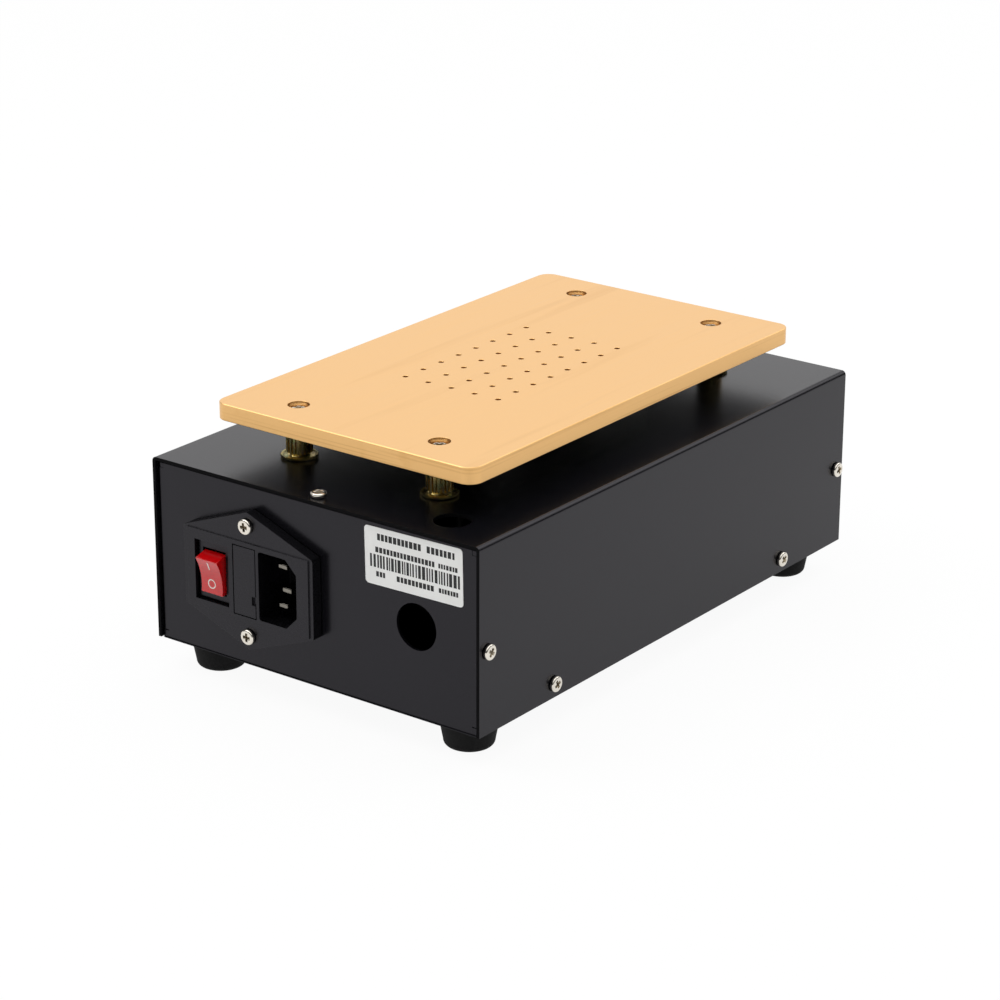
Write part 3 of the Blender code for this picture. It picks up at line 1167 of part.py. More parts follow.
def make_pump():
    """A small diaphragm pump: motor, crankcase, eccentric on the shaft, rod with diaphragm, valve head."""
    axis = shift(PUMP_X, PUMP_HEAD_Y, PUMP_AXIS_Z) @ Matrix.Rotation(math.pi / 2, 4, "X")
    front = PUMP_LENGTH / 2
    w, d = PUMP_WIDTH / 2, PUMP_LENGTH / 2
    at = shift(PUMP_X, PUMP_HEAD_Y, 0)
    low, high = (-w, -d, PUMP_BOTTOM), (w, d, CRANKCASE_TOP)
    crankcase = span("crankcase_form", low, high, at, PUMP_CORNER, axis=2, steps=3)
    as_part(crankcase, "pump_crankcase", BLACK_PLASTIC)
    chamber = [(0, 0, front - CRANK_CHAMBER_DEPTH / 2 + SINK / 2)]
    depth = CRANK_CHAMBER_DEPTH + SINK
    cut(crankcase, rods("crank_chamber", CRANK_CHAMBER_RADIUS, depth, chamber, axis, FINE_STEPS))
    rod_y = front - CRANK_CHAMBER_DEPTH / 2
    above = shift(PUMP_X, PUMP_HEAD_Y - rod_y, 0)
    height = CRANKCASE_TOP + SINK - PUMP_AXIS_Z
    slot = [(0, 0, PUMP_AXIS_Z + height / 2)]
    cut(crankcase, rods("rod_slot", ROD_SLOT_RADIUS, height, slot, above))
    recess = DIAPHRAGM_THICKNESS + 2 * SEAT
    bed = [(0, 0, CRANKCASE_TOP)]
    cut(crankcase, rods("diaphragm_bed", DIAPHRAGM_RADIUS + SEAT, 2 * recess, bed, above, FINE_STEPS))

    ring_outer = ECCENTRIC_RADIUS + ECCENTRIC_OFFSET + CRANK_GAP + ROD_RING_WALL
    ring_inner = ring_outer - ROD_RING_WALL
    ring = [
        (ring_inner, ROD_WIDTH / 2),
        (ring_outer, ROD_WIDTH / 2),
        (ring_outer, -ROD_WIDTH / 2),
        (ring_inner, -ROD_WIDTH / 2),
    ]
    rod = turned("rod_ring", ring, axis @ shift(0, 0, rod_y), HOLE_STEPS, closed=True)
    as_part(rod, "pump_rod", STEEL)
    disc_top = CRANKCASE_TOP - SEAT
    disc_bottom = disc_top - DIAPHRAGM_THICKNESS
    half = ROD_WIDTH / 2 - SINK
    low = (-half, -half, PUMP_AXIS_Z + ring_inner + SINK)
    fuse(rod, span("rod_stem", low, (half, half, disc_bottom + SINK), above))
    disc = [(0, 0, (disc_top + disc_bottom) / 2)]
    fuse(rod, rods("diaphragm", DIAPHRAGM_RADIUS, DIAPHRAGM_THICKNESS, disc, above, HOLE_STEPS))

    motor_front = front + SEAT
    outer, step = MOTOR_RADIUS, MOTOR_CAP_STEP
    profile = [
        (0.0, motor_front + MOTOR_LENGTH),
        (outer - 2 * step, motor_front + MOTOR_LENGTH),
        (outer - step, motor_front + MOTOR_LENGTH - step),
        (outer - step, motor_front + MOTOR_LENGTH - MOTOR_CAP_LENGTH),
        (outer, motor_front + MOTOR_LENGTH - MOTOR_CAP_LENGTH),
        (outer, motor_front),
        (SHAFT_RADIUS + RUNNING_GAP, motor_front),
        (SHAFT_RADIUS + RUNNING_GAP, motor_front + MOTOR_BORE_DEPTH),
        (0.0, motor_front + MOTOR_BORE_DEPTH),
    ]
    as_part(turned("motor_form", profile, axis, HOLE_STEPS), "pump_motor", STEEL)

    tail = motor_front + MOTOR_BORE_DEPTH - 2 * RUNNING_GAP
    nose = rod_y - ECCENTRIC_WIDTH / 2 - SINK
    long = tail - nose
    place = [(0, 0, (tail + nose) / 2)]
    shaft = rods("shaft_form", SHAFT_RADIUS, long, place, axis, SMALL_STEPS)
    as_part(shaft, "pump_shaft", STEEL)
    place = [(0, -ECCENTRIC_OFFSET, rod_y)]
    fuse(shaft, rods("eccentric", ECCENTRIC_RADIUS, ECCENTRIC_WIDTH, place, axis, HOLE_STEPS))

    low = (-w, -d, VALVE_HEAD_BOTTOM)
    high = (w, d, VALVE_HEAD_BOTTOM + VALVE_HEAD_HEIGHT)
    valve_head = span("valve_head_form", low, high, at, PUMP_CORNER, axis=2, steps=3)
    as_part(valve_head, "pump_valve_head", BLACK_PLASTIC)
    sideways = shift(VALVE_HEAD_SIDE, PUMP_HEAD_Y, HOSE_Z) @ Matrix.Rotation(-math.pi / 2, 4, "Y")
    long = NIPPLE_LENGTH + SINK
    place = [(0, 0, NIPPLE_LENGTH - long / 2)]
    fuse(valve_head, rods("pump_nipple", NIPPLE_RADIUS, long, place, sideways, HOLE_STEPS))


def make_power_board():
    """The power board with its soldered parts, and the transformer that stands on it."""
    frame = shift(BOARD_X, CASE_Y + BOARD_Y, 0)
    w, d = BOARD_WIDTH / 2, BOARD_LENGTH / 2
    board = span("board_form", (-w, -d, BOARD_BOTTOM), (w, d, BOARD_TOP), frame)
    as_part(board, "power_board", GREEN_BOARD)
    holes = [(x, y, BOARD_TOP) for x, y in board_hole_places()]
    cut(board, rods("board_holes", BOARD_HOLE_RADIUS, 4 * BOARD_THICKNESS, holes, WORLD, SMALL_STEPS))

    def stand(name, size, offset):
        wide, deep, high = size
        place = frame @ shift(*offset, BOARD_TOP + high / 2 - SINK / 2)
        return block(name, (wide, deep, high + SINK), place)

    sink = stand("heat_sink", HEAT_SINK_SIZE, HEAT_SINK_OFFSET)
    wide, deep, high = HEAT_SINK_SIZE
    pitch = wide / HEAT_SINK_FINS
    for k in range(HEAT_SINK_FINS):
        x = (k + 0.5) * pitch - wide / 2
        place = frame @ shift(HEAT_SINK_OFFSET[0] + x, HEAT_SINK_OFFSET[1] - deep / 3, BOARD_TOP + high / 2)
        gap = block("fin_gap", (HEAT_SINK_FIN_GAP, deep * 2 / 3, high + SHEET), place @ shift(0, 0, SHEET))
        cut(sink, gap)
    fuse(board, sink)
    fuse(board, stand("relay", RELAY_SIZE, RELAY_OFFSET))
    fuse(board, stand("terminals", TERMINAL_SIZE, TERMINAL_OFFSET))
    place = [(*CAPACITOR_OFFSET, BOARD_TOP + CAPACITOR_HEIGHT / 2 - SINK / 2)]
    fuse(board, rods("capacitor", CAPACITOR_RADIUS, CAPACITOR_HEIGHT + SINK, place, frame, SCREW_STEPS))

    wide, deep, high = TRANSFORMER_SIZE
    at = frame @ shift(*TRANSFORMER_OFFSET, BOARD_TOP + SEAT + high / 2)
    core = as_part(block("core_form", TRANSFORMER_SIZE, at, SEAT, steps=1), "transformer", IRON_CORE)
    fuse(core, block("bobbin", TRANSFORMER_BOBBIN, at, SEAT * 4, steps=2))


def lead_route(places):
    """Smooth points through PLACES, triples in metres, close enough together for a lead."""
    return smooth_route([Vector(place) for place in places], LEAD_STEP)


def make_leads():
    """Leads that the case and plate hold all the way: heater, temperature probe and mains."""
    gap = PLATE_BOTTOM - CASE_TOP
    terminals_x = BOARD_X + TERMINAL_OFFSET[0]
    terminals_y = CASE_Y + BOARD_Y + TERMINAL_OFFSET[1] + TERMINAL_SIZE[1] / 2
    terminals_z = BOARD_TOP + TERMINAL_SIZE[2] / 2
    drop = CASE_TOP - terminals_z

    heater_z = PLATE_BOTTOM - SEAT - HEATER_THICKNESS - SEAT - HEATER_LEAD_RADIUS
    x = LEAD_GROMMET_X - HEATER_LEAD_RADIUS - SEAT / 2
    places = [
        (x - LEAD_RUN, LEAD_Y, heater_z),
        (x - LEAD_RUN / 2, LEAD_Y, heater_z - HEATER_LEAD_RADIUS / 2),
        (x, LEAD_Y, CASE_TOP + gap / 4),
        (x, LEAD_Y, CASE_TOP - drop / 8),
        (x, LEAD_Y + LEAD_SLACK / 3, CASE_TOP - drop / 2),
        (x, terminals_y + LEAD_SLACK, terminals_z + drop / 4),
        (x, terminals_y + LEAD_SLACK / 2, terminals_z + HEATER_LEAD_RADIUS),
        (x, terminals_y + LEAD_SLACK / 4, terminals_z),
        (x, terminals_y + SEAT, terminals_z),
    ]
    lead = tube("heater_lead_form", lead_route(places), HEATER_LEAD_RADIUS)
    as_part(lead, "heater_lead", WHITE_SLEEVE)

    x = LEAD_GROMMET_X + 2 * PROBE_LEAD_RADIUS
    probe_x = LEAD_GROMMET_X + PROBE_LENGTH
    probe_y = CASE_Y + HEATER_LENGTH / 2 + SEAT + PROBE_LENGTH / 2
    probe_z = PLATE_BOTTOM - SEAT - PROBE_RADIUS
    entry_y = FRONT_Y - SEAT + CONTROLLER_BODY_DEPTH
    entry_z = CONTROL_Y + CONTROLLER_BODY_HEIGHT / 4
    under = CASE_TOP - SHEET
    places = [
        (probe_x, probe_y, probe_z),
        (probe_x, probe_y - PROBE_LENGTH / 2, probe_z - PROBE_RADIUS),
        ((probe_x + x) / 2, (probe_y + LEAD_Y) / 2 - PROBE_LENGTH / 4, CASE_TOP + gap / 2),
        (x, LEAD_Y, CASE_TOP + gap / 8),
        (x, LEAD_Y, under - LEAD_SLACK / 2),
        (x, LEAD_Y - LEAD_SLACK, under - LEAD_SLACK),
        (x, (LEAD_Y + entry_y) / 2, under - LEAD_SLACK),
        (x, entry_y + 2 * LEAD_SLACK, (under - LEAD_SLACK + entry_z) / 2),
        (x, entry_y + LEAD_SLACK / 2, entry_z),
        (x, entry_y + 2 * SEAT, entry_z),
    ]
    lead = tube("probe_lead_form", lead_route(places), PROBE_LEAD_RADIUS, 1)
    probe = shift(probe_x, probe_y, probe_z) @ Matrix.Rotation(math.pi / 2, 4, "X")
    fuse(lead, rods("probe_tip", PROBE_RADIUS, PROBE_LENGTH, [(0, 0, 0)], probe, SMALL_STEPS))
    as_part(lead, "temperature_probe", STEEL)

    tails = REAR_PANEL @ shift(INLET_X, INLET_Y, SEAT - INLET_BODY_DEPTH - PIN_TAIL)
    start = tails @ Vector((SOCKET_X, SOCKET_Y, -SEAT - MAINS_LEAD_RADIUS))
    end_x = terminals_x + TERMINAL_SIZE[0] / 2 - MAINS_LEAD_RADIUS
    places = [
        (start.x, start.y, start.z + PIN_SPACING / 2),
        (start.x, start.y, start.z),
        ((start.x + end_x) / 2, (start.y + terminals_y + LEAD_SLACK) / 2, (start.z + terminals_z) / 2),
        (end_x, terminals_y + LEAD_SLACK, terminals_z),
        (end_x, terminals_y + LEAD_SLACK / 2, terminals_z),
        (end_x, terminals_y + SEAT, terminals_z),
    ]
    lead = tube("mains_lead_form", lead_route(places), MAINS_LEAD_RADIUS)
    as_part(lead, "mains_lead", BLACK_PLASTIC)


make_cover()
make_tray()
make_feet()
make_heating_plate()
make_spacers_and_screws()
make_case_screws()
make_vacuum_pan()
make_heater()
make_grommet("hose_grommet", HOSE_X, PUMP_HEAD_Y, HOSE_BORE)
make_grommet("lead_grommet", LEAD_GROMMET_X, LEAD_Y, LEAD_HOLE_RADIUS)
make_hose()
make_inlet()
make_label()
make_controller()
make_front_switches()
make_pump()
make_power_board()
make_leads()
bpy.context.view_layer.update()
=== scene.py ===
"""Looks of the benchtop screen separator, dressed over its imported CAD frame.

Metres, +Z up. The rear end with the mains inlet is at +Y and the control end at -Y. On an end panel, x is to
the right as one faces the panel, y is up and z is out of the panel.
"""

import math
import random

import bmesh
import bpy
from mathutils import Matrix, Vector
from mathutils.bvhtree import BVHTree


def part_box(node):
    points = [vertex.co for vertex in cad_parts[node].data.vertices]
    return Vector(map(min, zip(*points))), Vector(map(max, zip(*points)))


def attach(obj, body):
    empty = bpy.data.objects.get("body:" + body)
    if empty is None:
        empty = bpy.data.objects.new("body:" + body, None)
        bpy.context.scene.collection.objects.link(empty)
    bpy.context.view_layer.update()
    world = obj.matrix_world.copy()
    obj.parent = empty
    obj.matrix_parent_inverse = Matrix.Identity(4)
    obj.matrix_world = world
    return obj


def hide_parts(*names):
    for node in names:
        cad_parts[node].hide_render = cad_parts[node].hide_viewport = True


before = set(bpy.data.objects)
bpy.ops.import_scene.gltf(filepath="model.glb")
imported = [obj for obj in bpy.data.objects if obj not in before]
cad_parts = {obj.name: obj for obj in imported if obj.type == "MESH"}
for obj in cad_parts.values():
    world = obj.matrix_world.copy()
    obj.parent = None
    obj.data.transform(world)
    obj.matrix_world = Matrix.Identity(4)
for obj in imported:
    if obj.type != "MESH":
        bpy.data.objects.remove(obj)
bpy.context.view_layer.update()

MM = 0.001
UP, DOWN = Vector((0, 0, 1)), Vector((0, 0, -1))
REAR_END, CONTROL_END = 1, -1
CORNERS = ("rear_left", "rear_right", "front_left", "front_right")

# Camera, solved from the case's corners, the vacuum holes and the screws
CAMERA_PLACE = Vector((-0.63902, 0.85770, 0.44988))
CAMERA_AIM = Vector((0.00184, 0.00383, 0.04514))
CAMERA_ROLL = math.radians(-0.1786)
CAMERA_LENS = 116.04
SENSOR_WIDTH = 36.0

# Studio: how white the floor is to the camera and in reflections, how bright the dark part of the room is,
# the sky's light, and the way to the backdrop
FLOOR_WHITE = 0.94
FLOOR_MIRRORED = 0.66
FLOOR_SIDE = 16.0
ROOM_DARK = 0.1
SKY_LEVEL = 0.92
BACKDROP_WAY = (0.6, -0.8, 0.0)

# Sheet metal: the tray's bends are the radius of its solid and the tighter one that is drawn, and the top's
# hole is its radius, its x and its distance from the rear edge
SHEET = 1.2 * MM
COVER_BEND = 1.6 * MM
PAINTED_EDGE = 0.3 * MM
TRAY_BENDS = (1.99 * MM, 0.75 * MM)
TOP_HOLE = (6.3 * MM, -48.1 * MM, 13.9 * MM)

# Fasteners: the radius and height of a head, the radius and length of a shank
CASE_HEAD = (2.75 * MM, 1.4 * MM)
CASE_SHANK = (1.4 * MM, 6.0 * MM)
PLATE_HEAD = (3.5 * MM, 3.0 * MM)

# Heating plate
PLATE_CORNER = 5.0 * MM
PLATE_CHAMFER = 0.2 * MM
HOLE_PITCH = 10.0 * MM
HOLE_ROWS, HOLE_COLUMNS = 5, 8
HOLE_RADIUS = 1.0 * MM
COUNTERBORE_RADIUS = 3.8 * MM
COUNTERBORE_DEPTH = 4.5 * MM
PLATE_SCREW_HOLE = 2.3 * MM

# Spacers: the flange is its radius and thickness
SPACER_RADIUS = 4.6 * MM
SPACER_RIBS = 20
RIB_WIDTH = 0.86 * MM
SPACER_FLANGE = (6.5 * MM, 0.9 * MM)
FLANGE_TEETH = 36
TOOTH_WIDTH = 0.8 * MM

# Sockets of the Mix node when it mixes colours, and how far apart a Wave texture's bands are at a scale of 1
MIX_SHARE, MIX_FROM, MIX_TO = 0, 6, 7
WAVES_APART = math.tau / 20


def linear(hex_colour):
    """An sRGB hex value such as "#b5543a" as the linear colour that shaders take."""
    values = [int(hex_colour[i : i + 2], 16) / 255 for i in (1, 3, 5)]
    return [v / 12.92 if v <= 0.04045 else ((v + 0.055) / 1.055) ** 2.4 for v in values] + [1.0]


def output(part):
    """The first output in use where PART is a node, or PART itself."""
    if isinstance(part, bpy.types.Node):
        return next(socket for socket in part.outputs if socket.enabled)
    return part


def node(tree, kind, inputs=(), **settings):
    """Add a node. SETTINGS are its properties; INPUTS gives each socket a value, or what it is linked from."""
    made = tree.nodes.new(kind)
    for name, value in settings.items():
        setattr(made, name, value)
    for name, value in dict(inputs).items():
        value = output(value)
        if isinstance(value, bpy.types.NodeSocket):
            tree.links.new(value, made.inputs[name])
        else:
            made.inputs[name].default_value = value
    return made


def finish(name, colour, roughness, **numbers):
    """A material with plain NUMBERS on its shader's own sockets, its tree, and Object coordinates."""
    made = bpy.data.materials.new(name)
    made.use_nodes = True
    sockets = made.node_tree.nodes["Principled BSDF"].inputs
    sockets["Base Color"].default_value = linear(colour)
    sockets["Roughness"].default_value = roughness
    for socket, value in numbers.items():
        sockets[socket.replace("_", " ")].default_value = value
    return made, made.node_tree, node(made.node_tree, "ShaderNodeTexCoord").outputs["Object"]


def driven(made, **parts):
    """MADE, a material, with nodes on its shader's sockets. An underscore stands for a space in a name."""
    shader = made.node_tree.nodes["Principled BSDF"]
    for socket, part in parts.items():
        made.node_tree.links.new(output(part), shader.inputs[socket.replace("_", " ")])
    return made


def tinted(tree, base, *films):
    """BASE, a colour, under FILMS that lie on it in turn: how much each covers, and its colour."""
    for share, colour in films:
        layers = {MIX_SHARE: share, MIX_FROM: base, MIX_TO: colour}
        base = node(tree, "ShaderNodeMix", layers, data_type="RGBA")
    return base


def grained(name, colour, other, roughness, spread, grain, height, patch=20.0, stretch=(1, 1, 1), **numbers):
    """A finish whose tone drifts from COLOUR to OTHER over PATCH, with a skin of GRAIN size and HEIGHT, in mm.

    Roughness is ROUGHNESS, give or take SPREAD. STRETCH shortens the grain along each axis where it is
    under 1 and lengthens it where it is over 1.
    """
    made, tree, place = finish(name, colour, roughness, **numbers)
    drawn = node(tree, "ShaderNodeMapping", {"Vector": place, "Scale": [1 / s for s in stretch]})
    skin = node(tree, "ShaderNodeTexNoise", {"Vector": drawn, "Scale": 1 / (grain * MM), "Detail": 3.0})
    drift = node(tree, "ShaderNodeTexNoise", {"Vector": drawn, "Scale": 1 / (patch * MM), "Detail": 2.0})
    span = {"From Min": 0.3, "From Max": 0.7, "To Min": roughness - spread, "To Max": roughness + spread}
    rough = node(tree, "ShaderNodeMapRange", {"Value": skin, **span})
    bump = node(tree, "ShaderNodeBump", {"Height": skin, "Distance": height * MM})
    tone = tinted(tree, linear(colour), (drift, linear(other)))
    return driven(made, Base_Color=tone, Roughness=rough, Normal=bump)


def gold_anodised_aluminium():
    """Brushed, then anodised gold: hairlines along the plate, a satin gloss and almost no change of tone."""
    made, tree, place = finish("brushed_gold_anodised_aluminium", "#efc285", 0.36, Metallic=1.0)

    def scratches(scale, apart, detail):
        """Lines APART, drawn out along the axes where SCALE is small."""
        drawn = node(tree, "ShaderNodeMapping", {"Vector": place, "Scale": scale})
        return node(tree, "ShaderNodeTexNoise", {"Vector": drawn, "Scale": 1 / apart, "Detail": detail})

    # Real hairlines are about 0.05 mm apart; drawn at 0.25 mm so that a few of them show
    hairs = scratches((1.0, 0.006, 1.0), 0.25 * MM, 2.0)
    streaks = scratches((1.0, 0.05, 1.0), 7 * MM, 4.0)
    # Saw and mill lines along the plate's edges, which change only with height
    lines = scratches((0.012, 0.012, 1.0), 0.9 * MM, 2.0)
    marks, deep, rough = (
        node(tree, "ShaderNodeMapRange", {"Value": of, "From Min": a, "From Max": b, "To Min": low, "To Max": high})
        for of, a, b, low, high in (
            (streaks, 0.56, 0.78, 0.0, 0.55), (lines, 0.54, 0.7, 0.0, 0.45), (hairs, 0.3, 0.7, 0.31, 0.42)
        )
    )
    facing = node(tree, "ShaderNodeSeparateXYZ", {0: node(tree, "ShaderNodeTexCoord").outputs["Normal"]})
    flat = node(tree, "ShaderNodeMath", {0: facing.outputs["Z"], 1: 0.9}, operation="GREATER_THAN")
    worn = tinted(tree, linear("#e6b574"), (hairs, linear("#f0c487")), (marks, linear("#dcab6a")))
    skin = tinted(tree, worn, (deep, linear("#c8985a")), (flat, worn))
    bump = node(tree, "ShaderNodeBump", {"Height": hairs, "Distance": 0.006 * MM})
    return driven(made, Base_Color=skin, Roughness=rough, Normal=bump)


def yellow_zinc():
    """Zinc plate with a yellow chromate film: brassy, with green and violet where the film is thicker."""
    made, tree, place = finish("yellow_chromated_zinc", "#d6c283", 0.22, Metallic=1.0)
    size = {"Scale": 1 / (3.2 * MM), "Detail": 1.0}
    film = node(tree, "ShaderNodeTexNoise", {"Vector": place, **size})
    size = {"Scale": 1 / (2.1 * MM), "Detail": 1.0, "Distortion": 0.4}
    tint = node(tree, "ShaderNodeTexNoise", {"Vector": place, **size})
    green, violet = (
        node(tree, "ShaderNodeMapRange", {"Value": of, "From Min": a, "From Max": b, "To Max": most})
        for of, a, b, most in ((film, 0.46, 0.62, 0.8), (tint, 0.56, 0.7, 0.7))
    )
    rough = node(tree, "ShaderNodeMapRange", {"Value": film, "To Min": 0.18, "To Max": 0.32})
    tone = tinted(tree, linear("#e6cf86"), (green, linear("#a6b57e")), (violet, linear("#c0988c")))
    return driven(made, Base_Color=tone, Roughness=rough)


def woven(name, colour, other, thread, roughness, **numbers):
    """A woven finish: two crossed waves THREAD mm apart give the raised threads and the darker gaps."""
    made, tree, place = finish(name, colour, roughness, **numbers)
    turned = node(tree, "ShaderNodeMapping", {"Vector": place, "Rotation": (0.0, 0.0, math.radians(45))})
    size = {"Vector": turned, "Scale": WAVES_APART / (thread * MM), "Distortion": 0.3}
    warp, weft = (
        node(tree, "ShaderNodeTexWave", size, wave_type="BANDS", bands_direction=axis).outputs[1]
        for axis in ("X", "Y")
    )
    cloth = node(tree, "ShaderNodeMath", {0: warp, 1: weft}, operation="MULTIPLY")
    tone = tinted(tree, linear(other), (cloth, linear(colour)))
    bump = node(tree, "ShaderNodeBump", {"Height": cloth, "Distance": thread * MM / 6})
    return driven(made, Base_Color=tone, Normal=bump)


def laminated_iron():
    """Stacked, varnished iron sheets, drawn 1 mm apart so that they show: fine dark lines across the core."""
    made, tree, place = finish("varnished_laminations", "#4a4038", 0.42, Metallic=0.6)
    size = {"Vector": place, "Scale": WAVES_APART / (1.0 * MM)}
    sheets = node(tree, "ShaderNodeTexWave", size, bands_direction="Y").outputs[1]
    tone = tinted(tree, linear("#2c2621"), (sheets, linear("#5a4e44")))
    bump = node(tree, "ShaderNodeBump", {"Height": sheets, "Distance": 0.05 * MM})
    return driven(made, Base_Color=tone, Normal=bump)


# Steel sheet with a baked satin powder: a fine pebbled skin that blurs what it mirrors
POWDER_COAT = grained(
    "satin_black_powder_coat", "#09090c", "#0c0c10", 0.24, 0.03, 0.55, 0.008,
    IOR=1.5, Specular_IOR_Level=0.3, Specular_Tint=linear("#f7f2ff"),
)
# Where the shears cut the sheet, the powder lies thin and rough
CUT_EDGE_COAT = grained(
    "rough_coat_on_cut_edges", "#08080a", "#0e0d0e", 0.8, 0.05, 0.4, 0.03,
    IOR=1.5, Specular_IOR_Level=0.08,
)
GOLD = gold_anodised_aluminium()
# Barrel-plated nickel over steel: bright, a little warm, with soft tumbling marks
NICKEL = grained(
    "bright_nickel_plate", "#ece7dd", "#dcd5c8", 0.18, 0.06, 1.2, 0.004, 3, Metallic=1.0
)
# The same plate on the pins, drawn darker: painted shade of the socket they stand in
SHADED_PIN_PLATE = grained(
    "worn_nickel_plate", "#8a867e", "#716d65", 0.18, 0.08, 0.8, 0.004, 2, Metallic=1.0
)
ZINC = yellow_zinc()
# Moulded black rubber: matt, with a faint bloom
RUBBER = grained(
    "moulded_black_rubber", "#060606", "#09090a", 0.82, 0.06, 0.5, 0.02, 8,
    IOR=1.52, Specular_IOR_Level=0.3,
)
# Nylon moulded in a spark-eroded tool: fine satin texture
INLET_NYLON = grained(
    "moulded_black_nylon", "#09090b", "#0c0c0f", 0.3, 0.05, 0.35, 0.008,
    IOR=1.53, Specular_IOR_Level=0.31, Specular_Tint=linear("#f7f2ff"),
)
# Polished moulded polycarbonate, dyed red: glossy, light goes a little way in
RED_LENS = grained(
    "red_polycarbonate", "#d40b12", "#bc090e", 0.14, 0.03, 2, 0.004, 4,
    IOR=1.58, Subsurface_Weight=0.25, Subsurface_Scale=1.0 * MM, Coat_Weight=0.15, Coat_Roughness=0.08,
)
# White ink pressed into the rockers and the keys
WHITE_INK = grained("white_filled_mark", "#f1efe9", "#e6e3da", 0.45, 0.05, 0.3, 0.003)
# Coated paper label, smooth and barely glossy, and its black print
LABEL_FILM = grained("white_label_film", "#f3f3f1", "#ebebe8", 0.42, 0.06, 0.4, 0.004, 12)
BLACK_INK = grained("black_label_print", "#0b0b0c", "#151516", 0.5, 0.05, 0.3, 0.002)
# ABS with a fine moulded texture, and the smoother keys
CONTROLLER_ABS = grained("black_textured_abs", "#131315", "#19191c", 0.45, 0.06, 0.45, 0.02, IOR=1.54)
KEY_ABS = grained("grey_key_abs", "#5e5f63", "#53545a", 0.4, 0.05, 0.4, 0.01, IOR=1.54)
# Smooth moulded polycarbonate for the front rockers
BLACK_LENS = grained("black_polycarbonate", "#0e0e10", "#141416", 0.2, 0.03, 1.5, 0.004, IOR=1.58)
# Dyed acrylic in front of the display: deep red, clear enough for the unlit segments to show
SMOKED_WINDOW = grained(
    "dark_red_acrylic", "#a5181e", "#8f1419", 0.06, 0.02, 5, 0.002, IOR=1.49, Transmission_Weight=0.85
)
DARK_BACKING = grained("matt_display_backing", "#2a1517", "#231113", 0.7, 0.05, 0.5, 0.01)
UNLIT_SEGMENT = grained("unlit_display_segment", "#f0cfc8", "#e4c0b8", 0.5, 0.05, 0.4, 0.005)
# Painted shade: the plate's underside is drawn matt black, so no gold shows in the case's shine
UNDERSIDE_PAINTED_SHADE = grained("matt_heatproof_black", "#0d0d0d", "#141413", 0.7, 0.05, 0.5, 0.01, IOR=1.5)
# Silicone rubber over glass cloth, drawn black: painted shade under the plate. The weave prints through
SHADED_SILICONE = woven("black_silicone_on_glass_cloth", "#161617", "#0c0c0d", 0.9, 0.65)
# Pressed steel, bright where the press drew it along
PAN_STEEL = grained(
    "drawn_steel", "#a9a8a4", "#94938f", 0.34, 0.08, 0.4, 0.006, 9, (1, 12, 1), Metallic=1.0
)
# Extruded silicone: milky, soft shine
CLEAR_HOSE = grained(
    "milky_silicone_hose", "#dfe2dd", "#d2d6d0", 0.3, 0.05, 1.5, 0.01,
    Subsurface_Weight=0.4, Subsurface_Scale=2.0 * MM,
)
# Glass-filled nylon: dull, with the fibres near its skin
PUMP_NYLON = grained("black_glass_filled_nylon", "#151517", "#1d1d20", 0.5, 0.07, 0.5, 0.02, IOR=1.53)
# Thin zinc plate on a drawn can: pale grey and a little patchy
MOTOR_CAN = grained(
    "zinc_plated_can", "#b7b6b1", "#a4a3a0", 0.3, 0.07, 0.8, 0.005, 6, Metallic=1.0
)
PALE_ACETAL = grained("white_acetal", "#dcd8cc", "#d2cdc0", 0.4, 0.05, 0.6, 0.008, IOR=1.48)
BRIGHT_STEEL = grained("ground_steel", "#bdbbb6", "#aeaca8", 0.22, 0.05, 0.3, 0.003, Metallic=1.0)
# The board's lacquer, its extruded heat sink, and the moulded and sleeved parts on it
SOLDER_MASK = grained("green_solder_mask", "#12612f", "#0e5328", 0.32, 0.06, 0.6, 0.01, 10, IOR=1.5)
PLAIN_ALUMINIUM = grained(
    "extruded_aluminium", "#c3c4c4", "#b2b3b4", 0.36, 0.07, 0.3, 0.006, 8, (1, 1, 14), Metallic=1.0
)
BLUE_POLYESTER = grained("blue_polyester_cover", "#1d5fa8", "#19548f", 0.4, 0.05, 0.6, 0.008)
BLACK_SLEEVE = grained("black_capacitor_sleeve", "#1a1c24", "#20222c", 0.35, 0.05, 1.5, 0.006)
GREEN_TERMINAL = grained("green_terminal_nylon", "#2f8a48", "#287a3f", 0.45, 0.05, 0.6, 0.01)
IRON_CORE = laminated_iron()
YELLOW_TAPE = grained(
    "yellow_polyester_tape", "#d8b648", "#c9a63c", 0.35, 0.05, 0.8, 0.01, 5, (1, 1, 6)
)
# Sleeves of the leads: coated woven glass, tinned steel braid and smooth PVC
# The glass sleeve is drawn dark charcoal: painted shade of the closed case. Its own colour is white
SHADED_GLASS_SLEEVE = woven("coated_woven_glass_sleeve", "#343230", "#191817", 0.6, 0.75)
STEEL_BRAID = woven("tinned_steel_braid", "#bcbab4", "#4d4b47", 0.5, 0.32, Metallic=1.0)
BLACK_PVC = grained("black_pvc_sheath", "#111113", "#18181a", 0.45, 0.06, 0.8, 0.02, IOR=1.53)
# The fuse: clear glass and the tinned wire in it
FUSE_GLASS = grained(
    "clear_fuse_glass", "#eef4f2", "#e6efec", 0.03, 0.01, 4, 0.001, IOR=1.5, Transmission_Weight=1.0
)
TINNED_WIRE = grained("tinned_wire", "#cfcdc8", "#bdbbb5", 0.25, 0.05, 0.4, 0.004, Metallic=1.0)


def in_mm(*points):
    """POINTS given in millimetres."""
    return [(x * MM, y * MM) for x, y in points]


def arc(x, y, radius, start, end, steps):
    """The points of an arc about (x, y), from the angle START to END in degrees."""
    turns = [math.radians(start + (end - start) * k / steps) for k in range(steps + 1)]
    return [(x + radius * math.cos(turn), y + radius * math.sin(turn)) for turn in turns]


def ring(radius, steps=40, x=0.0, y=0.0):
    """A round outline."""
    return arc(x, y, radius, 0, 360, steps)[:-1]


